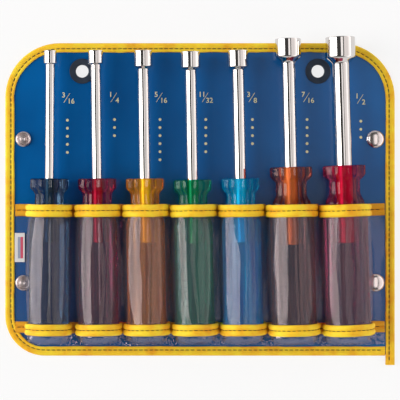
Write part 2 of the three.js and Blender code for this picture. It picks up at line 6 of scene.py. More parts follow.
# %% Load the frame
import json
from math import cos, dist, exp, pi, radians, sin, sqrt, tan

import bmesh
import bpy
import numpy as np
from mathutils import Matrix, Vector, noise

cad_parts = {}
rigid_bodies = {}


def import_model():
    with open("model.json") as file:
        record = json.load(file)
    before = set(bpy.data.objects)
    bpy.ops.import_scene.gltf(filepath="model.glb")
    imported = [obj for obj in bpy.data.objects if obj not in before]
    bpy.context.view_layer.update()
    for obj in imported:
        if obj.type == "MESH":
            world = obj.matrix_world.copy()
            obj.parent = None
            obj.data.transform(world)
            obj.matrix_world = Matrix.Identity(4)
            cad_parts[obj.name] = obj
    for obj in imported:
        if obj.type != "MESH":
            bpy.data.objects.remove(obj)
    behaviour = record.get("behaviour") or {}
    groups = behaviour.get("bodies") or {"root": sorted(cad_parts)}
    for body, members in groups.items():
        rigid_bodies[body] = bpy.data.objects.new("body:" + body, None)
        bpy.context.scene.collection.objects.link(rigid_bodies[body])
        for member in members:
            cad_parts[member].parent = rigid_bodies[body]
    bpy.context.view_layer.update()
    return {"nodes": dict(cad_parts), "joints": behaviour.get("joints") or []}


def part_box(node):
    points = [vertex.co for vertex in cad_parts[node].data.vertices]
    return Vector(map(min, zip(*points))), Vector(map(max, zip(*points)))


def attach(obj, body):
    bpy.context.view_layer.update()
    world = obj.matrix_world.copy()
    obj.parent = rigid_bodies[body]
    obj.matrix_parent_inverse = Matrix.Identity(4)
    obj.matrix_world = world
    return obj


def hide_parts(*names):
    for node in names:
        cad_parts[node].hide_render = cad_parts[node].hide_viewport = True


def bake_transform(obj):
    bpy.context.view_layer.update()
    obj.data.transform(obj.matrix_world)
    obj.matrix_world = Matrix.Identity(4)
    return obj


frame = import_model()
MM = 0.001
joints = {joint["name"]: joint for joint in frame["joints"]}

# %% [markdown]
# A driver lies along the axis of its slide joint, and its handle is a ring of lobes, so the mean of the
# handle's points lies on that axis. That is enough to find the frame of each bay: its butt end, its lean and
# its height over the sheet. Reading it from the frame is safer than typing the places a second time.

# %% Find the bays
SIZES = ["3_16", "1_4", "5_16", "11_32", "3_8", "7_16", "1_2"]
SHEET_BOTTOM, SHEET_TOP = 0.9, 2.1  # the faces of the blue sheet
FRONT = 2.4  # the height that the drivers lie on


class Bay:
    """One driver's place: its own frame starts under the butt, with Y along the driver and Z up."""

    def __init__(self, size):
        joint = joints["pull_" + size]
        along = Vector(joint["axis"])
        across = along.cross(Vector((0, 0, 1)))
        points = [v.co / MM for v in frame["nodes"]["handle_" + size].data.vertices]
        centre = sum(points, Vector()) / len(points)
        reaches = [(point - centre).dot(along) for point in points]
        butt = centre + along * min(reaches)
        mouth_tape = frame["nodes"]["top_tape_" + size].data.vertices
        self.size = size
        self.section = joint["parent"]
        self.length = max(reaches) - min(reaches)
        self.radius = centre.z - FRONT
        self.mouth = max((v.co / MM - butt).dot(along) for v in mouth_tape)
        self.matrix = Matrix((across, along, (0, 0, 1))).transposed().to_4x4()
        self.matrix.translation = (butt.x, butt.y, FRONT)

    def under(self, y):
        """The point of the pouch under the driver, at y along it."""
        return self.matrix @ Vector((0, y, 0))


bays = [Bay(size) for size in SIZES]
for bay in bays:
    print(bay.size, bay.section, [round(v, 1) for v in bay.under(0)], round(bay.length, 1))

# %% [markdown]
# ## Finishes
# Shader maths reads best as plain arithmetic, so one small class wraps a node's socket. Operators add Math
# nodes, and `add` makes every other node from its type, inputs and settings. Common nodes have short methods.

# %% A socket that does arithmetic


def maths(operation, turned=False):
    """A method that joins two values in a Math node, the other one first if turned."""

    def method(self, other):
        first, second = (other, self) if turned else (self, other)
        return self.add("Math", {0: first, 1: second}, operation=operation)

    return method


class Socket:
    """An output socket of a material's nodes."""

    __add__ = __radd__ = maths("ADD")
    __mul__ = __rmul__ = maths("MULTIPLY")
    __sub__, __rsub__ = maths("SUBTRACT"), maths("SUBTRACT", turned=True)
    __gt__, __lt__ = maths("GREATER_THAN"), maths("LESS_THAN")

    def __init__(self, tree, link=None):
        self.tree = tree
        self.link = link

    def add(self, kind, inputs, output=0, stops=(), **settings):
        """The output of a new shader node. Its settings and a ramp's stops are set first."""
        node = self.tree.nodes.new("ShaderNode" + kind)
        for name, value in settings.items():
            setattr(node, name, value)
        elements = node.color_ramp.elements if stops else []
        for _ in range(len(stops) - len(elements)):
            elements.new(0.5)
        for element, (value, colour) in zip(elements, stops):
            element.position = value
            element.color = (*colour, 1)
        for name, value in inputs.items():
            if isinstance(value, Socket):
                self.tree.links.new(value.link, node.inputs[name])
            else:
                node.inputs[name].default_value = value
        return Socket(self.tree, node.outputs[output]) if node.outputs else None

    def along(self, axis):
        """The coordinate on axis 0, 1 or 2, in millimetres."""
        return self.add("SeparateXYZ", {0: self}, axis) * 1000

    def scaled(self, x, y, z):
        return self.add("VectorMath", {0: self, 1: (x, y, z)}, operation="MULTIPLY")

    def noise(self, size_mm, detail=2.0):
        """Cloudy values from 0 to 1, with clouds about size_mm across."""
        return self.add("TexNoise", {"Vector": self, "Scale": 1000 / size_mm, "Detail": detail})

    def bump(self, strength, depth_mm):
        inputs = {"Height": self, "Strength": strength, "Distance": depth_mm * MM}
        return self.add("Bump", inputs)

    def mix(self, low, high):
        """A colour from low to high as this value goes from 0 to 1."""
        low, high = [c if isinstance(c, Socket) else (*c, 1) for c in (low, high)]
        return self.add("Mix", {0: self, 6: low, 7: high}, 2, data_type="RGBA")

    def between(self, low, high):
        """A shader from low to high as this value goes from 0 to 1."""
        return self.add("MixShader", {0: self, 1: low, 2: high})

    def ramp(self, *stops):
        """The colour that the stops of (value, colour) give this value."""
        return self.add("ValToRGB", {0: self}, stops=stops)


print("socket methods:", [name for name in vars(Socket) if not name.startswith("_")])

# %% [markdown]
# A finish is a material, and here each is a function of the place on the piece. The place is taken from the
# piece's own coordinates: they need no unwrapping, which suits pieces made in code, and the pattern stays on
# the piece when it moves.

# %% A finish from a shader


def emptied(owner, coordinates):
    """The coordinates of a material or world, which loses its other nodes."""
    owner.use_nodes = True
    owner.node_tree.nodes.clear()
    return Socket(owner.node_tree).add("TexCoord", {}, coordinates)


def make_finish(name, shader_at, *values, **named):
    """A material with the shader that shader_at makes, from the place on the piece and the values."""
    material = bpy.data.materials.new(name)
    place = emptied(material, "Object")
    place.add("OutputMaterial", {"Surface": shader_at(place, *values, **named)})
    return material


def coated(place, **inputs):
    """A Principled shader. Names are the sockets' own, with _ for a space."""
    named = {name.replace("_", " "): value for name, value in inputs.items()}
    return place.add("BsdfPrincipled", named)


print("finishes can be made by", make_finish.__name__)

# %% [markdown]
# The back is calendered vinyl: deep blue and glossy, with a fine pebble that breaks up its highlights. A
# picture of vinyl would show its repeats on so wide a sheet, and noise has none: a fine one makes the pebble,
# and a broad one the slight clouds in the dye.

# %% Blue vinyl
VINYL_DEEP, VINYL_PALE = (0.0, 0.092, 0.31), (0.0, 0.117, 0.38)


def blue_vinyl(place):
    clouds = place.noise(45, 3)
    pebble = place.noise(0.9, 1) + 0.6 * place.noise(7, 2)
    return coated(
        place,
        Base_Color=clouds.ramp((0.35, VINYL_DEEP), (0.7, VINYL_PALE)),
        Roughness=0.15 + 0.1 * place.noise(3, 2),
        Normal=pebble.bump(strength=0.25, depth_mm=0.12),
        Specular_IOR_Level=0.3,
    )


BLUE_VINYL = make_finish("blue_vinyl", blue_vinyl)
print(BLUE_VINYL.name)

# %% [markdown]
# The edges and the pockets' mouths are bound with woven yellow tape. Its colour drifts from lemon to orange
# where the dye and the wear differ. Low in the seams between the pockets it is painted brown as shade, so the
# pockets' tape also mixes by height. Threads in the mesh would take a great many faces and be finer than a
# pixel here, so the weave is a fine wave in the bump.

# %% Yellow tape
LEMON, GOLD = (0.98, 0.72, 0.035), (0.96, 0.59, 0.025)
# the seam brown is painted shade, for where the tape dips into the seams between the pockets
ORANGE, SEAM_SHADE_BROWN = (0.88, 0.40, 0.015), (0.80, 0.34, 0.02)
WEAVE_SCALE, WEAVE_BEND = 520, 0.6


def yellow_tape(place, seam_low, seam_high):
    """Tape with painted shade, brown, under the first height and its own colour over the second, both in
    millimetres.
    """
    own_colour = place.noise(9, 3).ramp((0.28, ORANGE), (0.46, GOLD), (0.66, LEMON))
    # painted shade: brown low down, fading to the tape's own colour higher up
    limits = {"Value": place.along(2), "From Min": seam_low, "From Max": seam_high}
    rise = place.add("MapRange", limits)
    bands = {"Vector": place, "Scale": WEAVE_SCALE, "Distortion": WEAVE_BEND}
    weave = place.add("TexWave", bands, bands_direction="DIAGONAL") + place.noise(0.5, 1)
    return coated(
        place,
        Base_Color=rise.mix(SEAM_SHADE_BROWN, own_colour),
        Roughness=0.5 + 0.2 * place.noise(1.2, 1),
        Normal=weave.bump(strength=0.25, depth_mm=0.12),
        Specular_IOR_Level=0.25,
    )


# painted shade: the edge tape lies at 0 mm and over, so it gets none; the pocket tape is brown low in its
# seams
EDGE_TAPE = make_finish("edge_tape", yellow_tape, seam_low=-2, seam_high=0)
POCKET_TAPE = make_finish("pocket_tape", yellow_tape, seam_low=1, seam_high=15)
print(EDGE_TAPE.name, POCKET_TAPE.name)

# %% [markdown]
# The pockets are clear film. A film this thin doesn't bend what is behind it, so glass would only cost
# render time: a Transparent shader shows the handle, with a trace of milky haze, and a mirror is mixed in
# over both, more of it where the film turns away. Ripples in its bump make the mirrored lamps wander. Past
# the lower tapes the film is slack: it is crinkled, hardly milky and full of small glints.

# %% Clear vinyl
FILM_SHARE, FILM_RIM = 0.019, 0.1  # mirror all over, and added at the rims
HAZE, SLACK_CLEARS, GLINTS = 0.024, 0.8, 0.06  # milk, the share of it that slack film lacks, and its glints
WANDER, CRINKLE = 5.0, 5.0
SLACK_BELOW = sum(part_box("bottom_tape_" + bay.size)[0].y for bay in bays) / len(bays) / MM


def clear_vinyl(place):
    slack = place.along(1) < SLACK_BELOW
    ripples = place.scaled(1, 0.12, 1).noise(7, 0.5) + WANDER * place.scaled(1, 0.35, 1).noise(16, 0)
    normal = (ripples + CRINKLE * slack * place.noise(5, 1)).bump(strength=0.45, depth_mm=1.4)
    mirror = coated(
        place,
        Base_Color=(0.95, 0.80, 0.77, 1),
        Metallic=0.92,
        Roughness=0.05 + 0.05 * place.noise(4, 2),
        Normal=normal,
    )
    clear = place.add("BsdfTransparent", {"Color": (0.95, 0.96, 0.98, 1)})
    milk = place.add("BsdfDiffuse", {"Color": (0.70, 0.76, 1.0, 1)})
    film = (HAZE - SLACK_CLEARS * HAZE * slack).between(clear, milk)
    turned = place.add("LayerWeight", {"Blend": 0.5, "Normal": normal}, 1)
    share = FILM_SHARE + GLINTS * slack + FILM_RIM * (1 - slack) * turned * turned * turned
    return share.between(film, mirror)


CLEAR_VINYL = make_finish("clear_vinyl", clear_vinyl)
print(CLEAR_VINYL.name)

# %% [markdown]
# Handles of this kind are moulded acetate, clear all through and dyed. A dyed volume inside would be truer,
# but it renders slowly and with more noise. So two shaders share the surface: tinted glass, which bends the
# light and mirrors the lamps, and a plain tinted window, which lets light reach the sheet behind the handle.
# The crown stands clear of the film and its lobes are thin, so over the pockets' mouths the window is paler,
# and the blue of the sheet shows through. Long streaks in the window's share stand for the flow lines of the
# moulding.

# %% Acetate
DYES = {  # the dye, its tint in the grip, its tint in the crown, and how much of its glass is clear
    "smoke": ((0.02, 0.045, 0.07), (0.26, 0.44, 0.60), (0.42, 0.58, 0.70), 0.86),
    "red": ((0.42, 0.004, 0.03), (0.84, 0.30, 0.50), (0.96, 0.44, 0.64), 0.86),
    "amber": ((0.98, 0.34, 0.01), (0.97, 0.52, 0.30), (1.0, 0.80, 0.50), 0.66),
    "green": ((0.002, 0.30, 0.15), (0.16, 0.72, 0.52), (0.36, 0.86, 0.84), 0.60),
    "blue": ((0.002, 0.42, 0.74), (0.06, 0.74, 1.0), (0.40, 0.90, 1.0), 0.52),
    "brown": ((0.48, 0.09, 0.03), (0.80, 0.50, 0.48), (0.92, 0.60, 0.62), 0.88),
}
WINDOW, FLOW = 0.55, 1.6
MOUTHS = sum(bay.under(bay.mouth).y for bay in bays) / len(bays)


def acetate(place, dye, grip_tint, crown_tint, clear):
    clouds = 0.85 + 0.3 * place.noise(12, 2)
    glass = coated(
        place,
        Base_Color=place.add("VectorMath", {0: dye, "Scale": clouds}, operation="SCALE"),
        Roughness=0.03 + 0.05 * place.noise(5, 2),
        Transmission_Weight=clear,
        IOR=1.47,
        Specular_IOR_Level=0.4,
        Normal=place.scaled(1, 0.15, 1).noise(5, 0.5).bump(strength=0.1, depth_mm=0.3),
    )
    grip, crown = [
        place.add("BsdfTransparent", {"Color": (*tint, 1)}) for tint in (grip_tint, crown_tint)
    ]
    window = (place.along(1) > MOUTHS).between(grip, crown)
    streaks = place.scaled(1, 0.04, 1).noise(2.6, 1)
    share = WINDOW + FLOW * (streaks - 0.5)
    return share.between(glass, window)


ACETATES = {name: make_finish(name + "_handle", acetate, *colours) for name, colours in DYES.items()}
HANDLE_DYES = dict(zip(SIZES, ["smoke", "red", "amber", "green", "blue", "brown", "red"]))
print(sorted(ACETATES))

# %% [markdown]
# The shafts are bright chrome, the snaps duller nickel and the eyelets dark oxidised metal. The snaps' domed
# caps get a paler copy of the nickel, and its paler colour is painted light. One shader serves them all.
# Smudges and fine rubbing marks keep the mirrors from looking like computer chrome. Acetate deepens its
# colour with thickness, and a surface shader can't, so the seated end of each shaft carries the dye it is
# seen through.

# %% Metals
CORES = {
    "smoke": (0.05, 0.09, 0.13),
    "red": (0.42, 0.006, 0.06),
    "amber": (0.80, 0.84, 0.05),
    "green": (0.002, 0.22, 0.06),
    "blue": (0.004, 0.46, 0.62),
    "brown": (0.58, 0.36, 0.08),
}
CORE_DULL, CORE_ROUGH = 0.55, 0.2  # what the core loses in shine and gains in roughness
CORE_SUNK = 0.3
METALS = {  # both ends of its colour, its roughness, the smudges in that and the size of its marks
    "chrome": ((0.67, 0.64, 0.62), (0.73, 0.70, 0.68), 0.03, 0.06, 1.5),
    "nickel": ((0.62, 0.52, 0.51), (0.80, 0.70, 0.69), 0.24, 0.12, 1.0),
    # a paler copy of the nickel for the domed caps: its paler colour is painted light, for the overhead light
    # the domes reflect
    "lit_cap_nickel": ((0.80, 0.70, 0.68), (0.90, 0.81, 0.79), 0.16, 0.1, 1.0),
    "dark_metal": ((0.03, 0.045, 0.07), (0.075, 0.09, 0.12), 0.45, 0.2, 1.0),
}


def metal(place, low, high, roughness, smudge, marks_mm, core=None, core_top=0.0):
    """A rubbed metal. Under core_top, in millimetres along the pouch, it takes the colour of its core."""
    colour = place.noise(6, 2).mix(low, high)
    shine, rubbed = 1.0, roughness + smudge * place.noise(2.5, 3)
    if core:
        seated = place.along(1) < core_top
        colour = seated.mix(colour, core)
        shine = 1.0 - CORE_DULL * seated
        rubbed = rubbed + CORE_ROUGH * seated
    return coated(
        place,
        Base_Color=colour,
        Metallic=shine,
        Roughness=rubbed,
        Normal=place.noise(marks_mm, 2).bump(strength=0.06, depth_mm=0.05),
    )


CHROMES = {}
for bay in bays:
    core, core_top = CORES[HANDLE_DYES[bay.size]], bay.under(bay.length).y - CORE_SUNK
    CHROMES[bay.size] = make_finish("chrome_" + bay.size, metal, *METALS["chrome"], core, core_top)
NICKEL, LIT_CAP_NICKEL, DARK_METAL = [
    make_finish(name, metal, *METALS[name]) for name in ("nickel", "lit_cap_nickel", "dark_metal")
]
print(len(CHROMES), "chromes,", NICKEL.name, LIT_CAP_NICKEL.name, DARK_METAL.name)

# %% [markdown]
# Three small finishes are left: dark waxed thread, gold print and the white woven tag with its two plain
# bars. The bars could be strips of their own, but as part of the cloth's colour they can't lift off it.

# %% Thread, print and tag
TAG_WHITE, TAG_GREY, TAG_RED = (0.86, 0.84, 0.83), (0.36, 0.40, 0.52), (0.72, 0.09, 0.16)


def plain(place, low, high, roughness, grain_mm):
    grain = place.noise(grain_mm, 2)
    return coated(
        place,
        Base_Color=grain.mix(low, high),
        Roughness=roughness + 0.2 * grain,
        Normal=grain.bump(strength=0.3, depth_mm=0.05),
    )


def tag_cloth(place, bar_left, bar_right, bar_low, bar_high):
    """White cloth with a red bar and a grey one beside it, placed in millimetres."""
    x, y = place.along(0), place.along(1)
    inside = (y > bar_low) * (y < bar_high)
    middle = (bar_left + bar_right) / 2
    red = inside * (x > middle) * (x < bar_right)
    grey = inside * (x > bar_left) * (x < middle)
    weave = place.noise(0.35, 1)
    return coated(
        place,
        Base_Color=red.mix(grey.mix(TAG_WHITE, TAG_GREY), TAG_RED),
        Roughness=0.6 + 0.2 * weave,
        Normal=weave.bump(strength=0.3, depth_mm=0.08),
    )


THREAD = make_finish("dark_thread", plain, (0.012, 0.01, 0.012), (0.045, 0.03, 0.02), 0.6, 0.6)
GOLD_PRINT = make_finish("gold_print", plain, (0.82, 0.76, 0.36), (0.95, 0.90, 0.55), 0.4, 1.2)
print(THREAD.name, GOLD_PRINT.name)

# %% [markdown]
# ## Building blocks
# Nearly every piece here is a row of rings: a path with a section carried along it. Blender's curves do that
# too, but their section stays the same, and here it changes on the way. `skin` joins the rings, and
# `place_piece` makes the object and smooths it up to the angle of a real edge.

# %% Skin and piece


def turn(count):
    """Angles of count points round a circle."""
    return np.linspace(0, 2 * pi, count, endpoint=False)


def skin(rings, capped=True):
    """Faces between rings of points that run round. Capped ends get a face each."""
    count = len(rings[0])
    points = [tuple(point) for ring in rings for point in ring]
    faces = []
    for low in range(0, len(points) - count, count):
        for i in range(count):
            j = (i + 1) % count
            faces.append((low + i, low + j, low + count + j, low + count + i))
    if capped:
        faces.append(tuple(range(count - 1, -1, -1)))
        faces.append(tuple(range(len(points) - count, len(points))))
    return points, faces


def add_object(name, data):
    """A new object in the scene."""
    added = bpy.data.objects.new(name, data)
    bpy.context.scene.collection.objects.link(added)
    return added


def link_piece(name, mesh, finish):
    """The object of a mesh, with its finish."""
    mesh.materials.append(finish)
    piece = add_object(name, mesh)
    return piece


def place_piece(name, mesh_parts, finish, matrix=None, smooth=35):
    """A piece from points and faces in millimetres. Edges sharper than smooth degrees stay sharp."""
    points, faces = mesh_parts
    matrix = matrix or Matrix()
    mesh = bpy.data.meshes.new(name)
    mesh.from_pydata([matrix @ Vector(point) * MM for point in points], [], faces)
    work = bmesh.new()
    work.from_mesh(mesh)
    bmesh.ops.recalc_face_normals(work, faces=work.faces)
    work.to_mesh(mesh)
    work.free()
    mesh.shade_smooth()
    mesh.set_sharp_from_angle(angle=radians(smooth))
    return link_piece(name, mesh, finish)


print("helpers ready")

# %% [markdown]
# ## Camera, floor and light
# The set was photographed from straight above with a long lens. A camera without perspective would come
# close, but the tops of the outer handles wouldn't lean out. So the camera stands a metre up, and its lens
# follows from the width that the picture shows.

# %% Camera
CAMERA_HEIGHT, CAMERA_Y = 1.0, 0.0012
FRAME_WIDTH = 0.2415
SENSOR = 36.0
camera_data = bpy.data.cameras.new("camera")
camera_data.sensor_width = SENSOR
camera_data.lens = SENSOR * CAMERA_HEIGHT / FRAME_WIDTH
camera = add_object("camera", camera_data)
camera.location = (0, CAMERA_Y, CAMERA_HEIGHT)
bpy.context.scene.camera = camera
bpy.context.scene.view_settings.view_transform = "Standard"
print("lens", round(camera_data.lens, 1))

# %% [markdown]
# The chrome in the photo tells its light: a large soft box on the left, a weaker one on the right and dark
# gaps beside a card over the camera. Area lamps give that, because chrome mirrors a lamp's shape. The world
# is a studio with pale walls and a dark ceiling, so the mirrors get their dark lines.

# %% Lights and world
LAMPS = {  # place, width, height, radiance and colour
    "left_box": ((-1.62, 0.11, 0.87), 1.06, 2.15, 5.6, (1, 0.98, 0.96)),
    "right_box": ((1.065, 0.0, 0.746), 2.6, 1.44, 0.92, (1, 0.94, 0.93)),
    "top_card": ((0.27, 0.0, 1.5), 1.6, 0.44, 1.2, (1, 0.97, 0.96)),
}
STUDIO = [(0.0, (0.9, 0.9, 0.9)), (0.25, (0.75, 0.75, 0.75)), (0.6, (0.06, 0.06, 0.06))]  # walls to ceiling


def soft_box(name, place, width, height, radiance, colour):
    """A one-sided lamp that faces the set, with the brightness its mirror image has."""
    lamp = bpy.data.lights.new(name, "AREA")
    lamp.shape = "RECTANGLE"
    lamp.size, lamp.size_y = width, height
    lamp.energy = pi * width * height * radiance
    lamp.color = colour
    box = add_object(name, lamp)
    box.location = place
    box.rotation_mode = "QUATERNION"
    box.rotation_quaternion = (-Vector(place)).to_track_quat("-Z", "Y")


for name, values in LAMPS.items():
    soft_box(name, *values)

world = bpy.data.worlds.new("studio")
direction = emptied(world, "Generated")
walls = direction.add("SeparateXYZ", {0: direction}, 2).ramp(*STUDIO)
glow = walls.add("Background", {"Color": walls, "Strength": 1.0})
glow.add("OutputWorld", {"Surface": glow})
bpy.context.scene.world = world

# %% [markdown]
# The floor is a wide pale disc. The photo's ground is pure white with hardly a shadow. More light would
# whiten it and bleach the set, so for the camera, mirrors and glass the floor adds a little light of its own,
# and its shadow stays.

# %% Floor
FLOOR_RADIUS, FLOOR_TOP, FLOOR_BOTTOM = 6000, -0.2, -0.6
FLOOR_GLOW = 0.8
AXIS_RADIUS = 0.004  # a ring on the axis keeps this radius


def lathe(profile, segments=64):
    """A turned piece on Z from [radius, height]. It starts and ends on the axis, or closes on itself."""
    sized = [(max(radius, AXIS_RADIUS), z) for radius, z in profile]
    rings = [[(r * cos(a), r * sin(a), z) for a in turn(segments)] for r, z in sized]
    looped = profile[0] == profile[-1]
    points, faces = skin(rings, capped=not looped)
    if looped:
        count = len(points) - segments
        points, faces = points[:count], [tuple(i % count for i in face) for face in faces]
    return points, faces


def pale_floor(place):
    kinds = ("Is Camera Ray", "Is Glossy Ray", "Is Transmission Ray")
    camera_ray, glossy_ray, passing_ray = [place.add("LightPath", {}, kind) for kind in kinds]
    seen = camera_ray + glossy_ray + passing_ray > 0.5
    matt = coated(place, Base_Color=(0.9, 0.9, 0.9, 1), Roughness=0.9)
    white = place.add("Emission", {"Color": (1, 1, 1, 1), "Strength": 1.0})
    return (seen * FLOOR_GLOW).between(matt, white)


disc = [(0, FLOOR_BOTTOM), (FLOOR_RADIUS, FLOOR_BOTTOM), (FLOOR_RADIUS, FLOOR_TOP), (0, FLOOR_TOP)]
floor = place_piece("floor", lathe(disc, 96), make_finish("pale_floor", pale_floor))
print("floor", floor.name)

# %% [markdown]
# ## The blue sheet
# The outline of the pouch is a path of points that also know which way is in, so the sheet, the binding and
# the stitches can all be drawn from it at their own depth. It is cut in two under the middle driver.

# %% Outline of the pouch
outline_low, outline_high = (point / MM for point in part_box("binding_left"))
EDGE_X, TOP_Y, BOTTOM_Y = -outline_low.x, outline_high.y, outline_low.y
TAIL_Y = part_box("binding_right")[0].y / MM
TOP_ROUND, BOTTOM_ROUND = 33.0, 24.0
BINDING_INSET = 5.9
MIDDLE_X = bays[3].under(0).x


def corner(x, y, radius, start, end, steps=16):
    """Points round a corner, in degrees, each with the direction into the pouch. The last one is left off."""
    angles = np.radians(np.linspace(start, end, steps))[:-1]
    return [(x + radius * cos(a), y + radius * sin(a), -cos(a), -sin(a)) for a in angles]


def straight(start, end, inward, step=3.0):
    """Points along a straight edge, without its last one."""
    count = max(2, int(dist(start, end) / step))
    spread = np.linspace(start, end, count, endpoint=False)
    return [(x, y, *inward) for x, y in spread]


left_edge = [
    *straight((MIDDLE_X, TOP_Y), (-EDGE_X + TOP_ROUND, TOP_Y), (0, -1)),
    *corner(-EDGE_X + TOP_ROUND, TOP_Y - TOP_ROUND, TOP_ROUND, 90, 180),
    *straight((-EDGE_X, TOP_Y - TOP_ROUND), (-EDGE_X, BOTTOM_Y + BOTTOM_ROUND), (1, 0)),
    *corner(-EDGE_X + BOTTOM_ROUND, BOTTOM_Y + BOTTOM_ROUND, BOTTOM_ROUND, 180, 270),
    *straight((-EDGE_X + BOTTOM_ROUND, BOTTOM_Y), (MIDDLE_X, BOTTOM_Y), (0, 1)),
    (MIDDLE_X, BOTTOM_Y, 0, 1),
]
right_edge = [
    *straight((MIDDLE_X, TOP_Y), (EDGE_X - TOP_ROUND, TOP_Y), (0, -1)),
    *corner(EDGE_X - TOP_ROUND, TOP_Y - TOP_ROUND, TOP_ROUND, 90, 0),
    *straight((EDGE_X, TOP_Y - TOP_ROUND), (EDGE_X, TAIL_Y), (-1, 0)),
    (EDGE_X, TAIL_Y, -1, 0),
]
lower_right_edge = [
    *straight((MIDDLE_X, BOTTOM_Y), (EDGE_X - BINDING_INSET, BOTTOM_Y), (0, 1)),
    (EDGE_X - BINDING_INSET, BOTTOM_Y, 0, 1),
]
print("edge points:", len(left_edge), len(right_edge), len(lower_right_edge))

# %% [markdown] One sheet of vinyl backs the whole pouch. It folds along two seams, and a piece can bend
# between two bodies only, so it is made in two halves that meet under the middle driver.

# %% Sheet halves
eyelet_low, eyelet_high = (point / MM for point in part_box("eyelet_right"))
EYELET_X, EYELET_Y = (eyelet_low.x + eyelet_high.x) / 2, (eyelet_low.y + eyelet_high.y) / 2
EYELET_HOLE = 4.6
SHEET_INSET = 0.9
FOLDS = {side: joints[side + "_fold"]["pos_m"][0] / MM for side in ("left", "right")}
BEND, STRIP_CUTS = 5.0, 11


def sheet_half(name, side, outline, eyelet_x):
    """One half of the sheet, with its eyelet's hole and the strips of its fold."""
    hole = [(eyelet_x + EYELET_HOLE * cos(a), EYELET_Y + EYELET_HOLE * sin(a)) for a in turn(48)]
    work = bmesh.new()
    edges = []
    for loop in (outline, hole):
        verts = [work.verts.new((x * MM, y * MM, SHEET_BOTTOM * MM)) for x, y in loop]
        edges += [work.edges.new((verts[i - 1], verts[i])) for i in range(len(verts))]
    bmesh.ops.triangle_fill(work, edges=edges, use_beauty=True)
    for offset in np.linspace(-BEND, BEND, STRIP_CUTS):
        everything = work.verts[:] + work.edges[:] + work.faces[:]
        cut = Vector(((FOLDS[side] + offset) * MM, 0, 0))
        bmesh.ops.bisect_plane(work, geom=everything, plane_co=cut, plane_no=(1, 0, 0))
    grown = bmesh.ops.extrude_face_region(work, geom=work.faces[:])
    risen = [item for item in grown["geom"] if isinstance(item, bmesh.types.BMVert)]
    bmesh.ops.translate(work, vec=(0, 0, (SHEET_TOP - SHEET_BOTTOM) * MM), verts=risen)
    bmesh.ops.recalc_face_normals(work, faces=work.faces)
    mesh = bpy.data.meshes.new(name)
    work.to_mesh(mesh)
    work.free()
    return link_piece(name, mesh, BLUE_VINYL)


def inset(edge, depth):
    return [(x + depth * inx, y + depth * iny) for x, y, inx, iny in edge]


sheet_foot = BOTTOM_Y + SHEET_INSET
square_corner = [(EDGE_X - SHEET_INSET, sheet_foot), (MIDDLE_X, sheet_foot)]
right_outline = [point for point in inset(right_edge, SHEET_INSET) if point[1] > sheet_foot] + square_corner
sheet_left = sheet_half("vinyl_back_left", "left", inset(left_edge, SHEET_INSET), -EYELET_X)
sheet_right = sheet_half("vinyl_back_right", "right", right_outline, EYELET_X)
print("sheet halves:", [(half.name, len(half.data.polygons)) for half in (sheet_left, sheet_right)])

# %% [markdown] Each half's place is baked into its mesh, and the frame's sheet pieces are hidden. The strips
# cut at the seam give the half room to turn, as limp vinyl does: with a sharp edge at the hinge it would look
# like card.

# %% Halves in place


def bend_at_fold(piece):
    """Bakes the piece's placement into its mesh."""
    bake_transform(piece)


bend_at_fold(sheet_left)
bend_at_fold(sheet_right)
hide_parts("sheet_left", "sheet_middle")
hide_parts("sheet_right")
left_binding = ["binding_left", "binding_top_middle", "binding_bottom_middle"]

# %% [markdown]
# ## Binding and its stitches
# The binding is a tape folded over the edge and sewn down. Its section has a round nose, two flaps, a slit
# between them for the sheet and a shallow furrow where the thread pulls it in. As one closed line, it can be
# carried along any edge.

# %% Section of the binding
BINDING_WIDTH = 5.6
NOSE, NOSE_MIDDLE = 1.3, 1.5
FLAP, UPPER_FLAP, LOWER_FLAP = 0.78, 2.25, 0.75  # thickness, and where it starts
FURROW, FURROW_DEPTH, FURROW_HALF = 3.5, 0.32, 0.55
THINNED, THIN_RUN = 0.25, 0.7  # how a flap thins at its edge
SLIT_START, SLIT_LOW, SLIT_HIGH = 0.75, 0.62, 2.38  # the slit that the sheet's edge lies in


def flap_height(into):
    """Thickness of a flap: full, pulled in at the furrow and thin at the edge."""
    furrow = FURROW_DEPTH * exp(-(((into - FURROW) / FURROW_HALF) ** 2))
    edge = THINNED * max(0, (into - BINDING_WIDTH + THIN_RUN) / THIN_RUN) ** 2
    return FLAP - furrow - edge


def binding_section(reach):
    """The tape's section as (into the pouch, height), its inner edge at the given reach."""
    stretch = reach / BINDING_WIDTH
    flap = np.linspace(NOSE, BINDING_WIDTH, 14)
    upper = [(into * stretch, UPPER_FLAP + flap_height(into)) for into in flap]
    lower = [(into * stretch, LOWER_FLAP - flap_height(into)) for into in flap]
    half_turn = np.linspace(0, pi, 11)[1:-1]
    nose = [(NOSE * (1 - sin(a)), NOSE_MIDDLE * (1 + cos(a))) for a in half_turn]
    slit = [(reach, SLIT_LOW), (SLIT_START, SLIT_LOW), (SLIT_START, SLIT_HIGH), (reach, SLIT_HIGH)]
    return upper[::-1] + nose + lower + slit


print("points in the section:", len(binding_section(BINDING_WIDTH)))

# %% [markdown]
# The section is carried round each edge. A curve with a bevel would give the same tape all along, so the
# rings are made one by one, and slow noise keeps them from being even. The noise depends on the place and a
# seed only, so each run gives the same pouch.

# %% Binding
DRIFT, DRIFT_LENGTH = 0.35, 14  # how far the tape's inner edge wanders, and over what length
QUIVER, QUIVER_LENGTH = 0.15, 4
PUFF, PUFF_LENGTH, PUFFED_OVER = 0.12, 9, 2.45  # only what lies over the last height is puffed up
FOLD_ROOM = BEND + 3.0
SEED_STEP = 7.31


def wave(x, y, scale, seed):
    """Smooth noise between -1 and 1, scale millimetres from hill to hill."""
    return noise.noise(Vector((x / scale, y / scale, seed * SEED_STEP)))


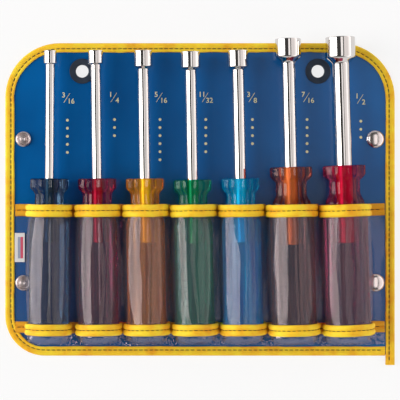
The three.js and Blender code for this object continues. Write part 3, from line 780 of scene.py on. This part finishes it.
def binding_piece(name, edge, seed):
    rings = []
    for x, y, inx, iny in edge:
        drift = DRIFT * wave(x, y, DRIFT_LENGTH, seed)
        quiver = QUIVER * wave(x, y, QUIVER_LENGTH, seed + 1)
        puff = PUFF * wave(x, y, PUFF_LENGTH, seed + 2)
        ring = []
        for into, z in binding_section(BINDING_WIDTH + drift + quiver):
            z = z + puff if z > PUFFED_OVER else z
            ring.append((x + inx * into, y + iny * into, max(0.0, z)))
        rings.append(ring)
    return place_piece(name, skin(rings), EDGE_TAPE, smooth=50)


def denser(edge, fold):
    """The edge with extra points across its fold, so that it bends smoothly there."""
    out = []
    for a, b in zip(edge, edge[1:]):
        out.append(a)
        near = min(a[0], b[0]) < fold + FOLD_ROOM and max(a[0], b[0]) > fold - FOLD_ROOM
        if near and a[2] == b[2] == 0:
            for t in (0.33, 0.67):
                out.append(tuple(p + (q - p) * t for p, q in zip(a, b)))
    return out + [edge[-1]]


EDGES = {  # the edge, its side and the nodes that its tape stands for
    "edge_tape_left": (left_edge, "left", left_binding),
    "edge_tape_right": (right_edge, "right", ["binding_right"]),
    "edge_tape_lower_right": (lower_right_edge, "right", ["binding_bottom_right"]),
}
for number, (name, (edge, side, nodes)) in enumerate(EDGES.items()):
    piece = binding_piece(name, denser(edge, FOLDS[side]), seed=number * 3)
    bend_at_fold(piece)
    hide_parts(*nodes)
print("binding:", sorted(EDGES))

# %% [markdown]
# A sewn line is a row of short threads that dip into the cloth at both ends. Dashes in the tape's colour
# would look printed, so each stitch is a small tube with tapered ends. The row casts its own small shadows.

# %% Stitches
STITCH, STITCH_GAP, THREAD_RADIUS = 2.6, 0.5, 0.25
THREAD_END = 0.45
STITCH_ARCH, STITCH_SUNK = 0.16, 0.08
EDGE_SEAM = UPPER_FLAP + flap_height(FURROW) + 0.1


def reach_along(path):
    """How far along the path each of its points lies."""
    steps = np.linalg.norm(np.diff(path, axis=0), axis=1)
    return np.concatenate([[0], np.cumsum(steps)])


def values_at(spots, reach, values):
    """The path's points at those distances along it, or the values kept beside its points."""
    return np.stack([np.interp(spots, reach, column) for column in values.T], axis=1)


def joined(parts):
    """Several (points, faces) as one."""
    points, faces = [], []
    for some_points, some_faces in parts:
        shift = len(points)
        points.extend(some_points)
        faces.extend(tuple(i + shift for i in face) for face in some_faces)
    return points, faces


def stitch(points, normals):
    """One stitch along the points."""
    rings = []
    last = len(points) - 1
    for i, (point, normal) in enumerate(zip(points, normals)):
        arch = sin(pi * i / last)
        along = points[min(i + 1, last)] - points[max(i - 1, 0)]
        side = np.cross(along / np.linalg.norm(along), normal)
        radius = THREAD_RADIUS * (THREAD_END + (1 - THREAD_END) * arch**0.5)
        centre = point + normal * (STITCH_ARCH * arch - STITCH_SUNK)
        rings.append([centre + radius * (cos(a) * side + sin(a) * normal) for a in turn(6)])
    return skin(rings)


def stitches_along(path, normals, start=0.8):
    """A row of stitches along a path of points in millimetres."""
    path, normals = np.array(path, float), np.array(normals, float)
    reach = reach_along(path)
    rows = []
    while start + STITCH < reach[-1]:
        spots = np.linspace(start, start + STITCH, 5)
        ups = values_at(spots, reach, normals)
        ups /= np.linalg.norm(ups, axis=1, keepdims=True)
        rows.append(stitch(values_at(spots, reach, path), ups))
        start += STITCH + STITCH_GAP
    return joined(rows)


for name, (edge, side, _) in EDGES.items():
    seam = [(x, y, EDGE_SEAM) for x, y in inset(edge, FURROW)]
    sewn = stitches_along(seam, [(0, 0, 1)] * len(seam))
    bend_at_fold(place_piece(name.replace("tape", "stitches"), sewn, THREAD))
print("edge stitches sewn")

# %% [markdown]
# ## Pockets
# Each pocket is a strip of clear film, sewn down at both sides and arched over its handle. The arch is wider
# than its feet are apart, so its legs lean in. Film and tapes follow one path, each at its own distance from
# the handle, so they can't cross, and neighbours share the seam between them.

# %% The arch of a pocket
PINCH = radians(18)
ARCH_SIDES = 10  # the frame's arches have flat sides, and their corners stand out a little
EASE, FILM, TAPE_GAP, TAPE = 0.3, 0.5, 0.8, 0.7
POCKET_LENGTH, DOME, LIP = 77.5, 6.6, 0.7
FOOT_GAP, SEAM_ROOM = 0.08, 0.3


def bulge(bay):
    """Half the width of a pocket with its tape."""
    return (bay.radius + EASE + TAPE_GAP + TAPE) / cos((pi + 2 * PINCH) / ARCH_SIDES / 2)


seams = [-EDGE_X + BINDING_INSET + SEAM_ROOM]
for left, right in zip(bays, bays[1:]):
    low = left.under(left.mouth - POCKET_LENGTH / 2).x + bulge(left)
    high = right.under(right.mouth - POCKET_LENGTH / 2).x - bulge(right)
    seams.append((low + high) / 2)
seams.append(EDGE_X - BINDING_INSET - SEAM_ROOM)
SEAMS = {bay.size: pair for bay, pair in zip(bays, zip(seams, seams[1:]))}


def resampled(points, count, rounds=0):
    """A path with evenly spaced points. Each round of smoothing eases its corners."""
    points = np.array(points, float)
    for _ in range(2):  # easing moves the points, so they are spaced a second time
        reach = reach_along(points)
        points = values_at(np.linspace(0, reach[-1], count), reach, points)
        for _ in range(rounds):
            points[1:-1] = (points[:-2] + 2 * points[1:-1] + points[2:]) / 4
    return points


def arch_path(bay, offset, base, count, y):
    """Points (x, height) from the left foot up over the handle to the right foot, at y along the driver."""
    radius = bay.radius + EASE + offset
    angles = np.linspace(pi + PINCH, -PINCH, 60)
    arc = [(radius * cos(a), bay.radius + radius * sin(a)) for a in angles]
    foot = arc[-1][0] - (arc[-1][1] - base) * tan(PINCH)
    left, right = (seam - bay.under(y).x for seam in SEAMS[bay.size])
    path = [(left + FOOT_GAP, base), (-foot, base), *arc, (foot, base), (right - FOOT_GAP, base)]
    return resampled(path, count, rounds=2)


print("seams:", [round(seam, 2) for seam in seams])

# %% [markdown]
# The film is a grid: round the arch one way and along the handle the other. Between its two tapes it swells
# off the handle's sides, and its lower end is drawn down to the sheet in a dome and a lip. Noise ripples it,
# most of all where the end is gathered. A cloth simulation could drape it, but film this tight takes the
# shape of its handle, and the grid is the same on each run.

# %% Surface of a film
SWELL, TAPE_ROOM = 1.2, 8.0
RIPPLE, SETTLED = 0.16, 0.18
GATHER, GATHER_REACH = 0.4, 9.0
FREE_HEIGHT = 3.0  # under this height the film is held by its seams


def film_rows(bay):
    """(y along the driver, share of the arch's height) from mouth to lip."""
    low = bay.mouth - POCKET_LENGTH
    rows = [(y, 1.0) for y in np.linspace(bay.mouth, low, 40)]
    for angle in np.radians(np.linspace(0, 90, 13)[1:]):
        rows.append((low - DOME * sin(angle), max(0.0, cos(angle))))
    return [*rows, (low - DOME - LIP, 0.0)]


def film_grid(bay, seed):
    """The film's middle surface in the bay's own frame."""
    grid = []
    for y, share in film_rows(bay):
        arch = arch_path(bay, FILM / 2, FILM / 2, 96, y)
        flat = np.linspace(arch[0][0], arch[-1][0], len(arch))
        down = bay.mouth - y
        gather = GATHER * exp(-(((POCKET_LENGTH - down) / GATHER_REACH) ** 2))
        free = (down - TAPE_ROOM) / (POCKET_LENGTH - 2 * TAPE_ROOM)
        swell = SWELL / bay.radius * sin(pi * free) ** 0.7 if 0 < free < 1 else 0.0
        ring = []
        for i, (x, z) in enumerate(arch):
            x = flat[i] + (x - flat[i]) * share
            z = FILM / 2 + (z - FILM / 2) * share
            x *= 1 + swell * min(1.0, z / bay.radius)
            lift = min(1.0, max(0.0, z / FREE_HEIGHT))
            ripple = RIPPLE * wave(i * 0.9, y * 0.25, 6, seed) + gather * wave(i, y * 0.3, 9, seed + 1)
            ring.append((x, y, z + lift * (ripple - SETTLED)))
        grid.append(ring)
    return grid


print("rows in a film:", len(film_rows(bays[0])))

# %% [markdown]
# A film has a thickness, so its grid becomes a closed shell with a surface on both sides. A Solidify modifier
# could do that, but here the first and last pockets also have to keep inside the binding, and `shell` takes
# any grid of points, so it makes the tag as well.

# %% Clear film


def shell(grid, thickness):
    """A closed sheet of that thickness round a grid of points, half to each side."""
    grid = np.array(grid, float)
    along = np.gradient(grid, axis=0)
    across = np.gradient(grid, axis=1)
    normals = np.cross(across, along)
    normals /= np.linalg.norm(normals, axis=2, keepdims=True) + 1e-12
    outer = grid + normals * thickness / 2
    inner = grid - normals * thickness / 2
    return skin([list(top) + list(bottom[::-1]) for top, bottom in zip(outer, inner)])


def inside_binding(place):
    """The nearest place that the binding leaves free."""
    place.x = max(-EDGE_X + BINDING_INSET, min(EDGE_X - BINDING_INSET, place.x))
    place.y = max(BOTTOM_Y + BINDING_INSET, place.y)
    middle = Vector((-EDGE_X + BOTTOM_ROUND, BOTTOM_Y + BOTTOM_ROUND, place.z))
    out = place - middle
    if out.x < 0 and out.y < 0 and out.length > BOTTOM_ROUND - BINDING_INSET:
        place = middle + out.normalized() * (BOTTOM_ROUND - BINDING_INSET)
    return place


def trimmed(bay, grid):
    back = bay.matrix.inverted()
    return [[tuple(back @ inside_binding(bay.matrix @ Vector(point))) for point in ring] for ring in grid]


for number, bay in enumerate(bays):
    grid = film_grid(bay, seed=number * 5)
    if bay in (bays[0], bays[-1]):
        grid = trimmed(bay, grid)
    mesh = shell(grid, FILM)
    film = place_piece("pocket_film_" + bay.size, mesh, CLEAR_VINYL, bay.matrix)
    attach(film, bay.section)
    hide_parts("pocket_" + bay.size)
    width = float(reach_along(np.array(grid[0]))[-1]) * MM
    left, right = SEAMS[bay.size]

# %% [markdown]
# ## Pocket tapes
# A tape is sewn over each pocket's mouth and another near its lower end. Its section is two soft ribs with a
# sewn furrow between them, carried over the arch. The ribs are in the mesh, because bump alone would leave
# the tape's outline flat. Only its ends lie flat, in the seams between the bays.

# %% Tapes
TAPES = {  # its lower edge measured down from the mouth, its width and the node it stands for
    "mouth_tape": (7.3, 7.3, "top_tape_"),
    "butt_tape": (POCKET_LENGTH, 6.8, "bottom_tape_"),
}
RIB_MIDDLE, RIB_BASE, RIB_HEIGHT = 0.52, 0.10, 0.95
UNDERSIDE, UNDER_WIDTH = 0.02, 0.97
THREAD_LIFT = 0.12
TAPE_DRIFT, TAPE_PUFF = 0.25, 0.12


def rib_height(v):
    """Height of the tape at v, from -1 to 1 across it: two round ribs and a furrow."""
    side = min(1.0, abs(abs(v) - RIB_MIDDLE) / (1 - RIB_MIDDLE))
    return RIB_BASE + RIB_HEIGHT * sqrt(max(0.0, 1 - side**2))


def path_normals(path):
    along = np.gradient(path, axis=0)
    normals = np.stack([-along[:, 1], along[:, 0]], axis=1)
    return normals / np.linalg.norm(normals, axis=1, keepdims=True)


def tape_mesh(bay, low, width, seed):
    """The tape and the line of its furrow, in the bay's own frame."""
    half = width / 2
    path = arch_path(bay, TAPE_GAP, TAPE_GAP, 110, low + half)
    rings, furrow, ups = [], [], []
    for i, ((x, z), (nx, nz)) in enumerate(zip(path, path_normals(path))):
        middle = low + half + TAPE_DRIFT * wave(i * 0.6, seed, 7, seed)
        puff = 1 + TAPE_PUFF * wave(i * 0.8, seed, 4, seed + 3)
        section = [(v, rib_height(v) * puff) for v in np.linspace(-1, 1, 17)]
        section += [(v * UNDER_WIDTH, UNDERSIDE) for v in (1, 0.3, -0.3, -1)]
        rings.append([(x + nx * height, middle + v * half, z + nz * height) for v, height in section])
        lift = rib_height(0) * puff + THREAD_LIFT
        furrow.append((x + nx * lift, middle, z + nz * lift))
        ups.append((nx, 0, nz))
    return skin(rings), furrow, ups


for number, (kind, (down, width, node)) in enumerate(TAPES.items()):
    for place, bay in enumerate(bays):
        mesh, furrow, ups = tape_mesh(bay, bay.mouth - down, width, seed=place * 4 + number * 40)
        sewn = stitches_along(furrow, ups, start=1.0)
        tape = place_piece(f"{kind}_{bay.size}", mesh, POCKET_TAPE, bay.matrix, smooth=50)
        row = place_piece(f"{kind}_stitches_{bay.size}", sewn, THREAD, bay.matrix)
        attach(tape, bay.section)
        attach(row, bay.section)
        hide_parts(node + bay.size)
print("tapes:", len(TAPES) * len(bays))

# %% [markdown]
# ## Drivers
# A handle is a turned form whose radius also runs in and out round it: eight lobes with grooves between them.
# Grooves cut with booleans would leave hard edges, so the radius follows a wave round the axis. The profile
# is a few stations from butt to crown, eased into each other.

# %% Handles
LOBES = 8
BUTT_ROUND = 4.5
CROWN_INSET = {90: 0.3, 99: 0.6}  # both by the length of the handle
NECK_INSET = {90: 3.2, 99: 4.2}
GROOVE_POWER = 1.6


def handle_stations(bay):
    """(distance from the butt, radius, groove depth) along the handle."""
    length, grip = bay.length, bay.radius
    crown = grip - CROWN_INSET[round(length)]
    neck = grip - NECK_INSET[round(length)]
    quarter = np.radians(range(0, 91, 15))
    butt = [(BUTT_ROUND * (1 - cos(a)), grip - BUTT_ROUND * (1 - sin(a)), 0.0) for a in quarter]
    return butt + [
        (9, grip, 0.35),
        (16, grip, 1.1),
        (length - 27.4, grip, 1.1),
        (length - 22, (grip + neck) / 2 + 0.3, 1.0),
        (length - 16.4, neck, 0.9),
        (length - 9.4, neck, 0.9),
        (length - 5.4, crown - 0.1, 1.4),
        (length - 4.4, crown, 1.5),
        (length - 0.8, crown, 1.5),
        (length - 0.25, crown - 0.25, 1.5),
        (length, crown - 0.8, 1.5),
    ]


def eased(stations, y):
    """Radius and groove at y. Between stations more than 2 mm apart they run in a soft S."""
    for (y0, r0, g0), (y1, r1, g1) in zip(stations, stations[1:]):
        if y <= y1:
            t = (y - y0) / max(y1 - y0, 1e-9)
            t = t * t * (3 - 2 * t) if y1 - y0 > 2 else t
            return r0 + (r1 - r0) * t, g0 + (g1 - g0) * t
    return stations[-1][1:]


def handle_mesh(bay, segments=128):
    stations = handle_stations(bay)
    places = [*(station[0] for station in stations), *np.linspace(BUTT_ROUND, bay.length, 56)]
    rings = []
    for y in sorted({round(place, 4) for place in places}):
        radius, groove = eased(stations, y)
        ring = []
        for angle in turn(segments):
            r = radius - groove * (0.5 + 0.5 * cos(LOBES * angle)) ** GROOVE_POWER
            ring.append((r * sin(angle), y, bay.radius + r * cos(angle)))
        rings.append(ring)
    return skin(rings)


for bay in bays:
    dye = HANDLE_DYES[bay.size]
    mesh = handle_mesh(bay)
    grip = place_piece("grip_" + bay.size, mesh, ACETATES[dye], bay.matrix, smooth=40)
    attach(grip, "driver_" + bay.size)
    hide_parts("handle_" + bay.size)
print("handles:", len(bays))

# %% [markdown]
# A shaft is one tube. Its end is swelled out into the socket, with a hexagon broached into the mouth and the
# bore left open behind it for a long bolt. Small rounds on the rim and the shoulder catch the light. It is
# one row of rings, from the bottom of the bore out over the rim and back to the seated end, so even the
# hexagon needs no boolean.

# %% Shafts
SHANK, HOLLOW, TUBE_WALL = 76.2, 72.0, 0.9
SEATS = {90: 38.0, 99: 46.0}  # how deep the shaft sits, by the length of its handle
SHAFT_AXIS = 0.01
SOCKETS = {  # hex across flats, wall at its corners, socket length, taper below it, shaft diameter
    "3_16": (4.76, 1.05, 7.5, 0.8, 5.4),
    "1_4": (6.35, 0.85, 7.5, 1.0, 6.1),
    "5_16": (7.94, 0.9, 9.2, 2.0, 6.8),
    "11_32": (8.73, 0.85, 9.2, 2.0, 6.8),
    "3_8": (9.525, 0.8, 9.5, 2.0, 7.3),
    "7_16": (11.11, 1.35, 10.0, 4.6, 8.0),
    "1_2": (12.7, 1.5, 11.4, 4.8, 10.0),
}


def shaft_mesh(bay, segments=72):
    hexagon, wall, socket, taper, shaft = SOCKETS[bay.size]
    tube = shaft / 2
    corner_radius = hexagon / sqrt(3)
    rim = corner_radius + wall
    foot = SHANK - socket
    seat = SEATS[round(bay.length)]
    angles = turn(segments)
    hex_ring = hexagon / 2 / np.cos(angles % (pi / 3) - pi / 6)
    shares = np.linspace(0.1, 1, 8)
    shoulder = [(foot - taper * t, rim + (tube - rim) * (t * t * (3 - 2 * t))) for t in shares]
    levels = [  # height over the handle, and the radius all round
        (SHANK - HOLLOW, SHAFT_AXIS),
        (SHANK - HOLLOW, tube - TUBE_WALL),
        (foot + 0.7, tube - TUBE_WALL),
        (foot + 1.0, hex_ring),
        (SHANK - 0.35, hex_ring),
        (SHANK - 0.05, corner_radius + 0.2),
        (SHANK, corner_radius + 0.3),
        (SHANK, rim - 0.35),
        (SHANK - 0.1, rim - 0.12),
        (SHANK - 0.35, rim),
        (SHANK - 0.7, rim),
        (foot + 0.4, rim),
        (foot, rim),
        *shoulder,
        (foot - taper - 0.5, tube),
        (0, tube),
        (-seat + 0.9, tube),
        (-seat + 0.5, tube),
        (-seat, tube - 0.5),
        (-seat, SHAFT_AXIS),
    ]
    rings = []
    for y, radii in levels:
        x, z = radii * np.sin(angles), bay.radius + radii * np.cos(angles)
        rings.append(np.stack([x, np.full(segments, bay.length + y), z], axis=1))
    return skin(rings)


for bay in bays:
    mesh = shaft_mesh(bay)
    shank = place_piece("shank_" + bay.size, mesh, CHROMES[bay.size], bay.matrix, smooth=30)
    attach(shank, "driver_" + bay.size)
    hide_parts("shaft_" + bay.size)
print("shafts:", len(bays))

# %% [markdown]
# ## Fittings
# Snaps and eyelets are pressed from sheet metal: a domed cap, a ringed stud with its nub, and an eyelet that
# is rolled over at its mouth. Stacked cylinders would have none of their rounded edges, so each is turned
# from a profile. The plates behind the sheet stay as they are in the frame and get a metal finish.

# %% Snaps and eyelets


def turned_piece(name, profile, finish, node, body):
    """A turned piece that stands where its node stands."""
    low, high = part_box(node)
    centre = (low + high) / 2 / MM
    place = Matrix.Translation((centre.x, centre.y, low.z / MM))
    piece = place_piece(name, lathe(profile), finish, place, smooth=40)
    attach(piece, body)
    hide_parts(node)


def arc(radius, height, centre_r, centre_z, start, end, steps=8):
    """Part of an ellipse in a profile, in degrees."""
    angles = np.radians(np.linspace(start, end, steps))
    return [(centre_r + radius * cos(a), centre_z + height * sin(a)) for a in angles]


STUD = [(0, 0), (4.3, 0), *arc(0.3, 0.45, 4.3, 0.45, -60, 60, 5), (4.15, 1.05)]  # flange, ring and nub
STUD += [*arc(0.42, 0.42, 3.75, 1.15, 20, 160), (3.1, 0.75), (2.2, 0.62)]
STUD += [(1.95, 0.8), (1.72, 1.5), *arc(0.5, 0.5, 1.42, 2.1, -30, 80, 6), (0.9, 2.45), (0, 2.3)]
CAP = [(0, 0), (4.9, 0), *arc(0.35, 0.3, 4.95, 0.3, -90, 40, 6)]  # rim and dome
CAP += [*arc(4.9, 1.55, 0, 0.55, 8, 88, 12), (0, 2.1)]
ROLLED = [(3.85, 0.3), (4.0, 0.05), (4.4, 0), (4.45, 2.4), (7.2, 2.4)]  # barrel, flange and rolled mouth
ROLLED += [*arc(0.3, 0.3, 7.25, 2.7, -90, 60, 6), (6.2, 3.0), (5.2, 3.05)]
ROLLED += [*arc(0.7, 0.6, 4.55, 2.4, 90, 180, 8), (3.85, 0.3)]
LEVELS, SIDES = ("upper", "lower"), ("left", "right")
for level in LEVELS:
    turned_piece("stud_" + level, STUD, NICKEL, "snap_stud_" + level, "left_wing")
    # the caps' paler nickel is painted light
    turned_piece("cap_" + level, CAP, LIT_CAP_NICKEL, "snap_cap_" + level, "right_wing")
for side in SIDES:
    turned_piece("eyelet_ring_" + side, ROLLED, DARK_METAL, "eyelet_" + side, side + "_wing")

behind = {"eyelet_washer_" + side: DARK_METAL for side in SIDES}
behind |= {f"snap_{kind}_{level}": NICKEL for kind in ("post", "socket") for level in LEVELS}
for node, finish in behind.items():
    materials = frame["nodes"][node].data.materials
    materials.clear()
    materials.append(finish)
print("fittings turned, and plates behind the sheet:", len(behind))

# %% [markdown]
# ## Tag and print
# The tag is a scrap of white cloth, sewn in beside the first pocket and a little wavy. A flat box would look
# like plastic, so it is a thin shell round a grid of points, and its two bars are in its finish.

# %% Tag
TAG_THICKNESS, TAG_LIFT, TAG_WAVE = 0.3, 0.25, 0.12
tag_low, tag_high = (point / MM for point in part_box("tag"))
across, along = np.linspace(tag_low.x, tag_high.x, 10), np.linspace(tag_low.y, tag_high.y, 24)
tag_grid = [[(x, y, tag_low.z + TAG_LIFT + TAG_WAVE * wave(x, y, 5, 3)) for x in across] for y in along]
TAG_CLOTH = make_finish(
    "tag_cloth",
    tag_cloth,
    bar_left=tag_low.x + 1.9,
    bar_right=tag_high.x - 0.9,
    bar_low=tag_low.y + 2.2,
    bar_high=tag_high.y - 2.4,
)
tag = place_piece("cloth_tag", shell(tag_grid, TAG_THICKNESS), TAG_CLOTH)
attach(tag, "left_wing")
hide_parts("tag")
print("tag", [round(v, 1) for v in tag_high - tag_low])

# %% [markdown]
# Beside each shaft the sheet is printed in gold. A number is Blender's own text, turned into a mesh, and the
# slash and the dots are thin solids. A picture on the sheet would need unwrapping, and these stay sharp from
# close by. They lie a hair over the sheet, because faces at one height would flicker.

# %% Numbers, slash and dots
PRINT_Z, PRINT_DEPTH = SHEET_TOP + 0.02, 0.03
DIGIT, DIGIT_BOLD, DIGIT_DEPTH = 4.3, 0.05, 0.02
SLASH_REACH, SLASH_LEAN, SLASH_HALF = 5.6, 0.64, 0.16
DOT_RADIUS = 0.85


def printed(name, words, x, y):
    """Words as a thin printed mesh on the sheet, centred on a point."""
    curve = bpy.data.curves.new(name, "FONT")
    curve.body = words
    curve.size = DIGIT * MM
    curve.align_x, curve.align_y = "CENTER", "CENTER"
    curve.extrude = DIGIT_DEPTH * MM
    curve.offset = DIGIT_BOLD * MM
    source = add_object(name + "_source", curve)
    source.location = (x * MM, y * MM, PRINT_Z * MM)
    bpy.context.view_layer.update()
    graph = bpy.context.evaluated_depsgraph_get()
    mesh = bpy.data.meshes.new_from_object(source.evaluated_get(graph))
    mesh.transform(source.matrix_world)
    bpy.data.objects.remove(source)
    return [tuple(v.co / MM) for v in mesh.vertices], [tuple(face.vertices) for face in mesh.polygons]


def slash(x, y):
    """A thin sloping stroke, centred on a point."""
    rise, run = SLASH_REACH / 2, SLASH_LEAN * SLASH_REACH / 2
    low, high = (x - run, y - rise), (x + run, y + rise)
    corners = [(low, -1), (low, 1), (high, 1), (high, -1)]
    outline = [(px + side * SLASH_HALF, py) for (px, py), side in corners]
    return skin([[(px, py, z) for px, py in outline] for z in (PRINT_Z, PRINT_Z + PRINT_DEPTH)])


def dot(x, y):
    profile = [(0, 0), (DOT_RADIUS, 0), (DOT_RADIUS, PRINT_DEPTH), (0, PRINT_DEPTH)]
    points, faces = lathe(profile, 20)
    return [(px + x, py + y, pz + PRINT_Z) for px, py, pz in points], faces


print("points in a dot:", len(dot(0, 0)[0]))

# %% [markdown]
# Each print is the size of its driver as a fraction, over a column of dots. It is one piece for each bay, so
# it rides with its section of the sheet.

# %% Gold print
TOP_AT, BOTTOM_AT, BOTTOM_STEP = (-2.0, 1.7), (2.0, -1.9), 0.5
SLASH_AT = -0.1
DOTS_AT, DOT_STEP = (0.3, -13.3), 4.85
PRINTS = {  # place of the number's middle, and how many dots stand under it
    "3_16": (-80.2, 62.6, 5),
    "1_4": (-51.8, 63.0, 3),
    "5_16": (-24.4, 63.0, 6),
    "11_32": (3.2, 63.0, 5),
    "3_8": (31.3, 63.0, 4),
    "7_16": (64.2, 63.0, 5),
    "1_2": (96.6, 62.0, 3),
}
for bay in bays:
    top, bottom = bay.size.split("_")
    x, y, dots = PRINTS[bay.size]
    shift = BOTTOM_STEP * (len(bottom) - 1)
    parts = [
        printed("top", top, x + TOP_AT[0], y + TOP_AT[1]),
        printed("bottom", bottom, x + BOTTOM_AT[0] + shift, y + BOTTOM_AT[1]),
        slash(x + SLASH_AT, y),
    ]
    parts += [dot(x + DOTS_AT[0], y + DOTS_AT[1] - DOT_STEP * i) for i in range(dots)]
    mark = place_piece("print_" + bay.size, joined(parts), GOLD_PRINT)
    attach(mark, bay.section)
print("prints:", len(bays))

# %% [markdown]
